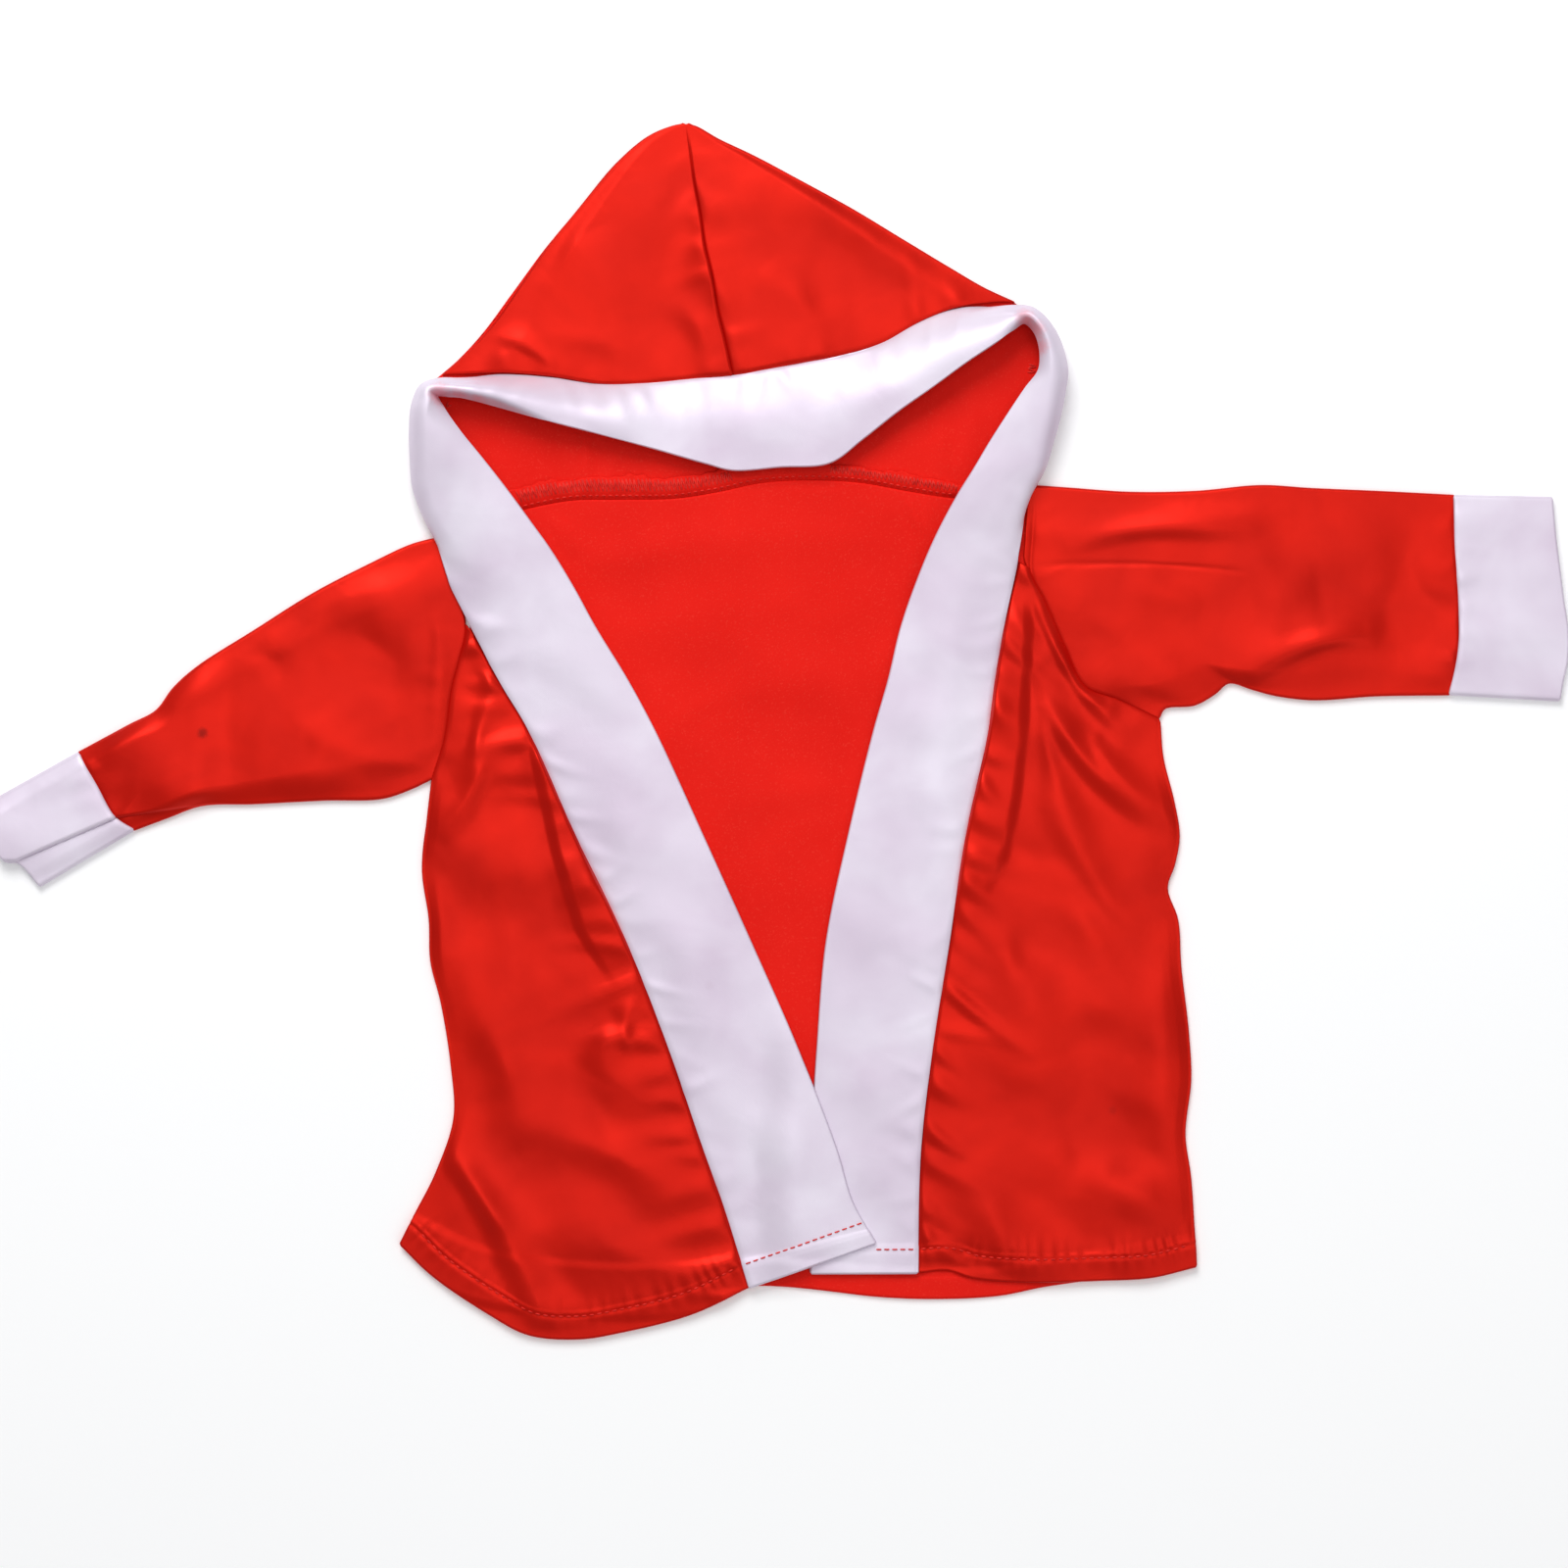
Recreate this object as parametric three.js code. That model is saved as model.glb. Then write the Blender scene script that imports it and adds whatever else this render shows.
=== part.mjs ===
// A very small hooded boxing robe, laid flat on its back, with its left front lapped over its
// right one at the hem and its hood opened towards the viewer.
// Millimetres. +X runs from cuff to cuff, +Y up to the hood's point and +Z up from the surface
// that the robe lies on. The origin is in the middle of its outline, on that surface.
import * as THREE from "three";

// ---- Driving dimensions, mm ----
const CLOTH = 1.0; // one layer of satin
const DOUBLED = 1.5; // the doubled strip of the bands and cuffs
const SEAM_GAP = 0.3; // between pieces that are sewn together
const STRETCH_GAP = 0.8; // between the strip's stretches, which are one strip on the robe
const FACET_GAP = 0.2; // a little more where facets meet along a curve
const BACK_RECESS = 1.8; // the back's armhole edges, under the fronts
const HEM_DEPTH = 10; // turned hem
const HEM_EXTRA = 0.5; // its second layer, pressed flat
const ALLOWANCE = 6.5; // depth of the neck seam's allowance
const LOFT = 1.2; // how far a laid upper layer stands off in its middle
const SEAM_LOFT = 0.9; // how far the bands' seam stands off, from its allowances
const LAP_STEP = 2.3; // the left front over the right band
const UNDER = CLOTH / 2; // mid height of the layer that rests on the surface
const UPPER = CLOTH + SEAM_GAP + CLOTH / 2; // mid height of a layer laid on it
const BAND_BASE = CLOTH + SEAM_GAP + DOUBLED / 2; // mid height of a band laid on it
const PEAK = { x: -31.9, y: 232.4 }; // the hood's point

// ---- Colours ----
const satin = (color) => new THREE.MeshStandardMaterial({ color, roughness: 0.36, metalness: 0 });
const RED = "#d8211a";
const RED_INSIDE = "#e0251c";
const WHITE = "#e4dcec";

// ---- Sections and edges: a row for each ----
// The doubled strip's stretches. The outer edge is sewn to the robe and the inner one is free.
// lift is added under the strip, rise is how high its crown stands, and curl is how far the
// section rolls over from its seam, from 0, flat, to 1.
const BAND_LEFT = [
  { outerX: -133, outerY: 132, innerX: -127.4, innerY: 128.4, lift: 0, rise: 14, curl: 1 },
  { outerX: -136.4, outerY: 124.5, innerX: -124.6, innerY: 122.6, lift: 0, rise: 15, curl: 1 },
  { outerX: -137.3, outerY: 115, innerX: -118.6, innerY: 114.3, lift: 0, rise: 14, curl: 1 },
  { outerX: -137.1, outerY: 104, innerX: -110.2, innerY: 104, lift: 0, rise: 12, curl: 1 },
  { outerX: -136.2, outerY: 92.5, innerX: -101.2, innerY: 92.5, lift: 0.5, rise: 9, curl: 1 },
  { outerX: -132.6, outerY: 80, innerX: -91.9, innerY: 80, lift: 1.5, rise: 6, curl: 0.8 },
  { outerX: -128.2, outerY: 69, innerX: -83.8, innerY: 69, lift: 2, rise: 4, curl: 0.4 },
  { outerX: -121.3, outerY: 55, innerX: -75, innerY: 55, lift: 2, rise: 2.5, curl: 0 },
  { outerX: -113.6, outerY: 40, innerX: -66.8, innerY: 40, lift: 1.8, rise: 1.6, curl: 0 },
  { outerX: -103.3, outerY: 20, innerX: -54.6, innerY: 20, lift: 0.4, rise: 1.2, curl: 0 },
  { outerX: -91.5, outerY: 0, innerX: -43.9, innerY: 0, lift: 0, rise: 1, curl: 0 },
  { outerX: -73.5, outerY: -40, innerX: -25.5, innerY: -40, lift: 0, rise: 1, curl: 0 },
  { outerX: -54.4, outerY: -80, innerX: -7.5, innerY: -80, lift: 0, rise: 1, curl: 0 },
  { outerX: -38.6, outerY: -120, innerX: 10.1, innerY: -120, lift: 0, rise: 1, curl: 0 },
  { outerX: -24.8, outerY: -160, innerX: 25.5, innerY: -160, lift: 0, rise: 0.8, curl: 0 },
  { outerX: -17.6, outerY: -180, innerX: 31.2, innerY: -179, lift: 0, rise: 0.6, curl: 0 },
  { outerX: -7.5, outerY: -212.1, innerX: 40.1, innerY: -195.2, lift: 0, rise: 0.2, curl: 0 },
];
const BAND_RIGHT = [
  { outerX: 101.2, outerY: 161.2, innerX: 97.6, innerY: 156.4, lift: 0, rise: 14, curl: 1 },
  { outerX: 109.2, outerY: 152.5, innerX: 102.4, innerY: 151, lift: 0, rise: 15, curl: 1 },
  { outerX: 113.9, outerY: 138, innerX: 103.6, innerY: 138, lift: 0, rise: 14, curl: 1 },
  { outerX: 113.1, outerY: 130, innerX: 97.9, innerY: 130, lift: 0, rise: 13, curl: 1 },
  { outerX: 111.2, outerY: 120, innerX: 91.2, innerY: 120, lift: 0, rise: 12, curl: 1 },
  { outerX: 108.5, outerY: 110, innerX: 84.8, innerY: 110, lift: 0.5, rise: 10, curl: 1 },
  { outerX: 105.8, outerY: 100, innerX: 78.8, innerY: 100, lift: 1.5, rise: 8, curl: 0.9 },
  { outerX: 101.4, outerY: 90, innerX: 72.4, innerY: 90, lift: 2, rise: 5.5, curl: 0.6 },
  { outerX: 97.4, outerY: 75, innerX: 64.2, innerY: 75, lift: 1.6, rise: 3.5, curl: 0.2 },
  { outerX: 93.6, outerY: 60, innerX: 57.6, innerY: 60, lift: 0.8, rise: 2.5, curl: 0 },
  { outerX: 89.3, outerY: 40, innerX: 50.6, innerY: 40, lift: 0.3, rise: 2, curl: 0 },
  { outerX: 85.9, outerY: 20, innerX: 45.8, innerY: 20, lift: 0, rise: 2, curl: 0 },
  { outerX: 83.3, outerY: 0, innerX: 40.1, innerY: 0, lift: 0, rise: 1.6, curl: 0 },
  { outerX: 74.6, outerY: -40, innerX: 30.4, innerY: -40, lift: 0, rise: 1.2, curl: 0 },
  { outerX: 68.6, outerY: -80, innerX: 22.1, innerY: -80, lift: 0, rise: 1, curl: 0 },
  { outerX: 62.3, outerY: -120, innerX: 18.6, innerY: -120, lift: 0, rise: 0.8, curl: 0 },
  { outerX: 57.6, outerY: -160, innerX: 16.3, innerY: -160, lift: 0, rise: 0.5, curl: 0 },
  { outerX: 56.4, outerY: -206.6, innerX: 16.2, innerY: -206.8, lift: 0, rise: 0.2, curl: 0 },
];
const BAND_HOOD = [
  { outerX: -133, outerY: 132, innerX: -127.4, innerY: 128.4, lift: 0, rise: 14, curl: 1 },
  { outerX: -126.5, outerY: 134.6, innerX: -121.8, innerY: 128.2, lift: 0, rise: 14, curl: 0.7 },
  { outerX: -118.1, outerY: 135.2, innerX: -115.4, innerY: 127.2, lift: 0, rise: 14, curl: 0.2 },
  { outerX: -103.1, outerY: 135.9, innerX: -103.1, innerY: 123.9, lift: 0, rise: 13, curl: 0 },
  { outerX: -84.4, outerY: 134.8, innerX: -84.4, innerY: 118.4, lift: 0, rise: 11, curl: 0 },
  { outerX: -65.6, outerY: 132.2, innerX: -65.6, innerY: 113.6, lift: 0, rise: 9, curl: 0 },
  { outerX: -46.9, outerY: 132.6, innerX: -45, innerY: 108.2, lift: 0, rise: 7, curl: 0 },
  { outerX: -28.1, outerY: 134.4, innerX: -24.4, innerY: 102.4, lift: 0, rise: 5, curl: 0 },
  { outerX: -13.9, outerY: 135.6, innerX: -14, innerY: 99.9, lift: 0, rise: 4, curl: 0 },
  { outerX: 0, outerY: 138.1, innerX: 4, innerY: 101.1, lift: 0, rise: 4, curl: 0 },
  { outerX: 13.1, outerY: 140.6, innerX: 23, innerY: 102.6, lift: 0, rise: 5, curl: 0 },
  { outerX: 28.1, outerY: 143.4, innerX: 35.6, innerY: 111.6, lift: 0, rise: 7, curl: 0 },
  { outerX: 43.1, outerY: 147.9, innerX: 48.8, innerY: 121.9, lift: 0, rise: 9, curl: 0 },
  { outerX: 58.1, outerY: 156.2, innerX: 61.9, innerY: 131.1, lift: 0, rise: 10, curl: 0 },
  { outerX: 71.3, outerY: 161.1, innerX: 75, innerY: 140.6, lift: 0, rise: 12, curl: 0 },
  { outerX: 84.4, outerY: 162.9, innerX: 86.3, innerY: 148.3, lift: 0, rise: 13, curl: 0.2 },
  { outerX: 93.6, outerY: 162.9, innerX: 92.2, innerY: 153, lift: 0, rise: 14, curl: 0.6 },
  { outerX: 101.2, outerY: 161.2, innerX: 97.6, innerY: 156.4, lift: 0, rise: 14, curl: 1 },
];
const HOOD_SECTIONS = 34; // facets along BAND_HOOD
const HOOD_CENTRE = 16 / HOOD_SECTIONS; // where the hood's centre seam meets it
// Where the fronts come out from under their bands, along BAND_LEFT and BAND_RIGHT, and along
// the armhole seams.
const FRONT_LEFT_TOP = { band: 8.2 / 16, armhole: 0.37 };
const FRONT_RIGHT_TOP = { band: 8.9 / 17, armhole: 0.31 };
const SLEEVE_ACROSS = 12; // facets across a sleeve's upper layer
// The folds that the hood's halves make at the sides, from the point to the strip. from is
// the share of the way there.
const HOOD_FOLD_LEFT = [
  { from: 0.03, x: -36.5, y: 231.8 },
  { from: 0.1, x: -46.5, y: 227.4 },
  { from: 0.2, x: -58.2, y: 217.2 },
  { from: 0.35, x: -71.3, y: 201.3 },
  { from: 0.5, x: -83.9, y: 185.5 },
  { from: 0.65, x: -94, y: 170.9 },
  { from: 0.8, x: -103.6, y: 157 },
  { from: 0.9, x: -113.4, y: 146 },
  { from: 1, x: -124.6, y: 136.2 },
];
const HOOD_FOLD_RIGHT = [
  { from: 0.03, x: -27.5, y: 231.4 },
  { from: 0.1, x: -19.3, y: 226.4 },
  { from: 0.2, x: -6.6, y: 220.2 },
  { from: 0.35, x: 12.3, y: 210 },
  { from: 0.5, x: 31.3, y: 199.6 },
  { from: 0.65, x: 50.2, y: 188.2 },
  { from: 0.8, x: 69.1, y: 176.8 },
  { from: 0.9, x: 81.8, y: 169.4 },
  { from: 1, x: 93.4, y: 164 },
];
// The neck seam, from one armhole's top to the other's.
const NECK_LEFT = [
  { x: -129, y: 77.5 },
  { x: -110, y: 83 },
  { x: -94, y: 89.4 },
  { x: -80, y: 92.2 },
  { x: -60, y: 92.2 },
  { x: -40, y: 92 },
  { x: -18.8, y: 93.5 },
];
const NECK_RIGHT = [
  { x: -18.8, y: 93.5 },
  { x: 2, y: 95.8 },
  { x: 26, y: 97 },
  { x: 45, y: 96.6 },
  { x: 62, y: 94.8 },
  { x: 80, y: 94 },
  { x: 100.4, y: 95.6 },
];
// The hood's side edges under the bands, from the strip's corner to the neck.
const HOOD_EDGE_LEFT = [
  { x: -124.6, y: 136.2 },
  { x: -131.6, y: 131 },
  { x: -134.8, y: 118 },
  { x: -134.8, y: 100 },
  { x: -132, y: 86 },
  { x: -129, y: 77.5 },
];
const HOOD_EDGE_RIGHT = [
  { x: 93.4, y: 164 },
  { x: 102, y: 158 },
  { x: 108, y: 148 },
  { x: 110.6, y: 132 },
  { x: 107, y: 113 },
  { x: 100.4, y: 95.6 },
];
// Armhole seams, from the shoulder to the underarm.
const ARMHOLE_LEFT = [
  { x: -127.4, y: 74.4 },
  { x: -121.4, y: 62.4 },
  { x: -117.6, y: 50 },
  { x: -116, y: 39 },
  { x: -118.4, y: 28 },
  { x: -121.5, y: 16 },
  { x: -124.1, y: -2.5 },
  { x: -129, y: -18.6 },
];
const ARMHOLE_RIGHT = [
  { x: 101.8, y: 94.4 },
  { x: 100.6, y: 75 },
  { x: 100.3, y: 60 },
  { x: 105, y: 50.6 },
  { x: 112.9, y: 32.4 },
  { x: 120.6, y: 17.4 },
  { x: 133, y: 12.4 },
  { x: 149.2, y: 4.6 },
];
// The body's sides, from the underarm to the hem.
const SIDE_LEFT = [
  { x: -129, y: -18.6 },
  { x: -130.9, y: -35 },
  { x: -132.6, y: -53 },
  { x: -130, y: -72 },
  { x: -129.4, y: -88 },
  { x: -125.4, y: -104 },
  { x: -121.6, y: -128 },
  { x: -120.6, y: -148 },
  { x: -127.5, y: -169 },
  { x: -136, y: -186 },
  { x: -141, y: -196 },
];
const SIDE_RIGHT = [
  { x: 149.2, y: 4.6 },
  { x: 150.4, y: -10 },
  { x: 154.6, y: -27 },
  { x: 156.6, y: -40 },
  { x: 154.8, y: -51 },
  { x: 152, y: -60 },
  { x: 156, y: -72 },
  { x: 157.2, y: -90 },
  { x: 160, y: -114 },
  { x: 161, y: -133 },
  { x: 158.8, y: -154 },
  { x: 161, y: -171 },
  { x: 163, y: -204.4 },
];
// Hems, from left to right.
const HEM_LEFT = [
  { x: -141, y: -196 },
  { x: -129, y: -207.6 },
  { x: -107, y: -222.6 },
  { x: -92, y: -230.4 },
  { x: -73, y: -232 },
  { x: -56, y: -229.3 },
  { x: -30, y: -222.6 },
  { x: -7.9, y: -212.1 },
];
const HEM_RIGHT = [
  { x: 56.8, y: -206.4 },
  { x: 68, y: -205.8 },
  { x: 78, y: -208.7 },
  { x: 99, y: -210.2 },
  { x: 125, y: -209.6 },
  { x: 146, y: -208.4 },
  { x: 163, y: -204.4 },
];
const HEM_BACK = [
  { x: -139.4, y: -194.6 },
  { x: -110, y: -208 },
  { x: -60, y: -214 },
  { x: 0, y: -211.6 },
  { x: 43, y: -215.9 },
  { x: 66, y: -216.6 },
  { x: 88, y: -215.4 },
  { x: 105, y: -212 },
  { x: 130, y: -208.4 },
  { x: 162.4, y: -203.2 },
];
// The sleeves' folded edges, from the armhole to the cuff seam, and the cuffs' after them.
const SLEEVE_LEFT_TOP = [
  { x: -127.4, y: 74.4 },
  { x: -137, y: 71.8 },
  { x: -152, y: 64.8 },
  { x: -174.4, y: 53.2 },
  { x: -197, y: 39 },
  { x: -219, y: 25 },
  { x: -228, y: 17 },
  { x: -234.6, y: 8.4 },
  { x: -245, y: 2.8 },
  { x: -264.4, y: -7.7 },
];
const SLEEVE_LEFT_LOW = [
  { x: -129, y: -18.6 },
  { x: -137, y: -22.4 },
  { x: -148, y: -26 },
  { x: -170, y: -26.6 },
  { x: -197, y: -27.9 },
  { x: -217, y: -28.6 },
  { x: -230, y: -33.2 },
  { x: -242.6, y: -37.9 },
];
const SLEEVE_RIGHT_TOP = [
  { x: 101.8, y: 94.4 },
  { x: 118, y: 93.2 },
  { x: 140, y: 91.7 },
  { x: 165, y: 92.1 },
  { x: 189, y: 94.3 },
  { x: 208, y: 93.2 },
  { x: 235, y: 92 },
  { x: 261.8, y: 90.6 },
];
const SLEEVE_RIGHT_LOW = [
  { x: 149.2, y: 4.6 },
  { x: 151.6, y: 8.4 },
  { x: 163, y: 9.8 },
  { x: 170.6, y: 14 },
  { x: 176, y: 18.2 },
  { x: 185, y: 15.8 },
  { x: 193, y: 13.6 },
  { x: 208, y: 11.8 },
  { x: 232, y: 13.3 },
  { x: 259.9, y: 13.7 },
];
const CUFF_LEFT_SEAM = [
  { x: -264.4, y: -7.7 },
  { x: -257, y: -20.6 },
  { x: -250.1, y: -32.6 },
  { x: -242.6, y: -37.9 },
];
const CUFF_LEFT_END = [
  { x: -304.9, y: -30.4 },
  { x: -297.6, y: -41 },
  { x: -291.4, y: -49.6 },
  { x: -286.4, y: -50.4 },
  { x: -278.3, y: -59.4 },
];
const CUFF_RIGHT_SEAM = [
  { x: 261.8, y: 90.6 },
  { x: 262.1, y: 70 },
  { x: 263.6, y: 47 },
  { x: 263.4, y: 32 },
  { x: 259.9, y: 13.7 },
];
const CUFF_RIGHT_END = [
  { x: 298.9, y: 89.8 },
  { x: 300.4, y: 71.8 },
  { x: 303.2, y: 50 },
  { x: 304.9, y: 37 },
  { x: 304.5, y: 26 },
  { x: 303, y: 19 },
  { x: 301.8, y: 11.4 },
];
// The largest folds: soft ridges, or troughs where rise is negative, bowed by bow mm at their
// middle. width is how far out the fold has died away to a third of its height.
const FOLDS_LEFT = [
  { x0: -91, y0: 12, x1: -49, y1: -98, bow: -5, width: 8, rise: 4.5 },
  { x0: -106, y0: 12, x1: -124, y1: -15, bow: -2, width: 3.5, rise: 3 },
  { x0: -108, y0: -2, x1: -130, y1: -46, bow: 3, width: 5, rise: 3.5 },
  { x0: -121, y0: -158, x1: -88, y1: -221, bow: 2, width: 7, rise: 6 },
  { x0: -50, y0: -97, x1: -65, y1: -134, bow: -3, width: 6, rise: 3 },
  { x0: -95, y0: -150, x1: -30, y1: -186, bow: 4, width: 10, rise: 2.5 },
  { x0: -104, y0: -70, x1: -96, y1: -120, bow: 3, width: 9, rise: 2 },
];
const FOLDS_RIGHT = [
  { x0: 96, y0: 50, x1: 78, y1: -64, bow: 5, width: 6, rise: 3.5 },
  { x0: 100, y0: 52, x1: 128, y1: 4, bow: -4, width: 6, rise: 3 },
  { x0: 103, y0: 22, x1: 155, y1: -38, bow: -9, width: 6, rise: 3.5 },
  { x0: 126, y0: -3, x1: 154, y1: -31, bow: -3, width: 4.5, rise: 2.5 },
  { x0: 100, y0: -8, x1: 142, y1: -81, bow: -4, width: 9, rise: 2 },
  { x0: 90, y0: -108, x1: 104, y1: -130, bow: 5, width: 11, rise: 3 },
  { x0: 148, y0: -90, x1: 146, y1: -180, bow: 4, width: 8, rise: 2 },
];
const FOLDS_SLEEVE_LEFT = [
  { x0: -251, y0: -14, x1: -206, y1: 30, bow: 5, width: 9, rise: 3 },
  { x0: -223, y0: -20, x1: -147, y1: -20, bow: 2, width: 5, rise: 2 },
  { x0: -176, y0: 1, x1: -132, y1: -13, bow: -3, width: 4.5, rise: 2.5 },
  { x0: -129, y0: 42, x1: -129, y1: -6, bow: 2, width: 3.5, rise: 2.5 },
  { x0: -198, y0: 32, x1: -182, y1: 18, bow: 1, width: 5, rise: -1 },
];
const FOLDS_SLEEVE_RIGHT = [
  { x0: 112, y0: 72, x1: 188, y1: 80, bow: 3, width: 4.5, rise: 3 },
  { x0: 112, y0: 63, x1: 205, y1: 60, bow: 2, width: 5, rise: 1.4 },
  { x0: 177, y0: 22, x1: 238, y1: 38, bow: 4, width: 5.5, rise: 3.5 },
  { x0: 176, y0: 54, x1: 209, y1: 48, bow: 4, width: 8, rise: 2.5 },
  { x0: 118, y0: 40, x1: 158, y1: 16, bow: 3, width: 6, rise: 2 },
];
const FOLDS_HOOD = [
  { x0: -108, y0: 152, x1: -84, y1: 141, bow: 1, width: 4, rise: 2.5 },
  { x0: -24, y0: 196, x1: -12, y1: 160, bow: -2, width: 6, rise: 2 },
  { x0: 5, y0: 205, x1: 70, y1: 172, bow: 2, width: 8, rise: 1.5 },
];
// Where the left sleeve's and cuff's upper layer ends in a crease over the layer under it.
const OVERHANG = { x0: -222, y0: -28.4, x1: -250.1, y1: -32.8, x2: -288, y2: -49.2, step: 1.6 };

// ---- Shape functions ----
const lerp = (a, b, t) => a + (b - a) * t;
const smooth = (t) => {
  const u = Math.min(Math.max(t, 0), 1);
  return u * u * (3 - 2 * u);
};
const steps = (count, from = 0, to = 1) =>
  Array.from({ length: count + 1 }, (_, i) => lerp(from, to, i / count));

// A smooth curve through a table's rows, in plan.
function curveThrough(rows, keyX = "x", keyY = "y") {
  const points = rows.map((row) => new THREE.Vector3(row[keyX], row[keyY], 0));
  const curve = new THREE.CatmullRomCurve3(points, false, "centripetal");
  curve.arcLengthDivisions = 400;
  return curve;
}

// An edge that runs along several tables in turn, by its length.
function edge(...tables) {
  const curves = tables.map((rows) => curveThrough(rows));
  const lengths = curves.map((curve) => curve.getLength());
  const whole = lengths.reduce((sum, length) => sum + length, 0);
  return (t) => {
    let along = Math.min(Math.max(t, 0), 1) * whole;
    let k = 0;
    while (k < curves.length - 1 && along > lengths[k]) along -= lengths[k++];
    return curves[k].getPointAt(Math.min(along / lengths[k], 1));
  };
}

// One edge and then another, each over its share of the whole by length.
function joined(first, second) {
  const reach = (along) => {
    const samples = steps(100).map(along);
    return samples.slice(1).reduce((sum, p, i) => {
      return sum + Math.hypot(p.x - samples[i].x, p.y - samples[i].y);
    }, 0);
  };
  const share = reach(first) / (reach(first) + reach(second));
  return (t) => (t < share ? first(t / share) : second((t - share) / (1 - share)));
}

// A column of a section table at t, smoothly between its rows.
function column(rows, key, t) {
  const at = Math.min(Math.max(t, 0), 1) * (rows.length - 1);
  const i = Math.min(Math.floor(at), rows.length - 2);
  return lerp(rows[i][key], rows[i + 1][key], smooth(at - i));
}

// The height that a table of folds gives at a place in plan.
function foldHeight(folds, x, y) {
  let height = 0;
  for (const fold of folds) {
    const dx = fold.x1 - fold.x0;
    const dy = fold.y1 - fold.y0;
    const length = Math.hypot(dx, dy);
    const along = ((x - fold.x0) * dx + (y - fold.y0) * dy) / (length * length);
    const inside = Math.min(Math.max(along, 0), 1);
    const bowed = fold.bow * 4 * inside * (1 - inside);
    const side = ((y - fold.y0) * dx - (x - fold.x0) * dy) / length - bowed;
    const past = (along - inside) * length;
    const distance = Math.hypot(side, past) / fold.width;
    const taper = 0.35 + 0.65 * Math.sin(Math.PI * inside);
    height += fold.rise * taper * Math.exp(-distance * distance);
  }
  return height;
}

// A patch in plan between four edges. a runs from the first side to the second, and v from
// the start edge to the end edge.
function patch(first, second, start, end) {
  const [p00, p10, p01, p11] = [first(0), second(0), first(1), second(1)];
  return (a, v) => {
    const mix = (key) =>
      lerp(first(v)[key], second(v)[key], a) +
      lerp(start(a)[key], end(a)[key], v) -
      lerp(lerp(p00[key], p10[key], a), lerp(p01[key], p11[key], a), v);
    return { x: mix("x"), y: mix("y") };
  };
}

// A closed wall on a grid of points, with its faces over and under them along the grid's
// normal. A ring grid closes on itself across its columns and stays open at its two ends. A
// mitred one is cut upright along its first and last rows.
function wall(name, colour, grid, { over, under, ring = false, mitred = false }) {
  const rows = grid.length;
  const cols = grid[0].length;
  const point = (i, j) => {
    const row = grid[Math.min(Math.max(i, 0), rows - 1)];
    return ring ? row[(j + cols) % cols] : row[Math.min(Math.max(j, 0), cols - 1)];
  };
  const normal = (i, j) => {
    const alongRows = point(i + 1, j).clone().sub(point(i - 1, j));
    const acrossCols = point(i, j + 1).clone().sub(point(i, j - 1));
    if (mitred && (i === 0 || i === rows - 1)) {
      const section = point(i, cols - 1).clone().sub(point(i, 0));
      const upright = new THREE.Vector3(section.y, -section.x, 0).normalize();
      alongRows.copy(upright.multiplyScalar(Math.sign(upright.dot(alongRows))));
    }
    return alongRows.cross(acrossCols).normalize();
  };
  const positions = [];
  for (const side of [1, -1]) {
    for (let i = 0; i < rows; i += 1) {
      for (let j = 0; j < cols; j += 1) {
        const reach = side > 0 ? over : under;
        const offset = side * (typeof reach === "function" ? reach(point(i, j), i, j) : reach);
        const p = point(i, j).clone().addScaledVector(normal(i, j), offset);
        positions.push(p.x, p.y, p.z);
      }
    }
  }
  const index = [];
  const at = (side, i, j) => side * rows * cols + i * cols + (j % cols);
  const quad = (a, b, c, d) => index.push(a, b, c, a, c, d);
  const lastCol = ring ? cols : cols - 1;
  for (let i = 0; i < rows - 1; i += 1) {
    for (let j = 0; j < lastCol; j += 1) {
      quad(at(0, i, j), at(0, i + 1, j), at(0, i + 1, j + 1), at(0, i, j + 1));
      quad(at(1, i, j), at(1, i, j + 1), at(1, i + 1, j + 1), at(1, i + 1, j));
    }
  }
  for (let j = 0; j < lastCol; j += 1) {
    quad(at(0, 0, j), at(0, 0, j + 1), at(1, 0, j + 1), at(1, 0, j));
    quad(at(0, rows - 1, j + 1), at(0, rows - 1, j), at(1, rows - 1, j), at(1, rows - 1, j + 1));
  }
  for (let i = 0; i < rows - 1 && !ring; i += 1) {
    quad(at(0, i + 1, 0), at(0, i, 0), at(1, i, 0), at(1, i + 1, 0));
    quad(at(0, i, lastCol), at(0, i + 1, lastCol), at(1, i + 1, lastCol), at(1, i, lastCol));
  }
  if (enclosed(positions, index) < 0) index.reverse();
  const geometry = new THREE.BufferGeometry();
  geometry.setAttribute("position", new THREE.Float32BufferAttribute(positions, 3));
  geometry.setIndex(index);
  geometry.computeVertexNormals();
  const mesh = new THREE.Mesh(geometry, satin(colour));
  mesh.name = name;
  return mesh;
}

// The signed volume inside a closed mesh, negative where its faces point in.
function enclosed(positions, index) {
  const corner = (k) => new THREE.Vector3().fromArray(positions, index[k] * 3);
  let volume = 0;
  for (let k = 0; k < index.length; k += 3) {
    volume += corner(k).dot(corner(k + 1).cross(corner(k + 2))) / 6;
  }
  return volume;
}

// The second layer of a turned hem along an edge.
const hemLayer = (along) => {
  const samples = steps(60).map(along);
  return (p) => {
    const distance = Math.min(...samples.map((s) => Math.hypot(s.x - p.x, s.y - p.y)));
    return HEM_EXTRA * (1 - smooth((distance - HEM_DEPTH + 2) / 4));
  };
};
const hemmed = (along) => {
  const layer = hemLayer(along);
  return (p) => CLOTH / 2 + layer(p);
};

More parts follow.
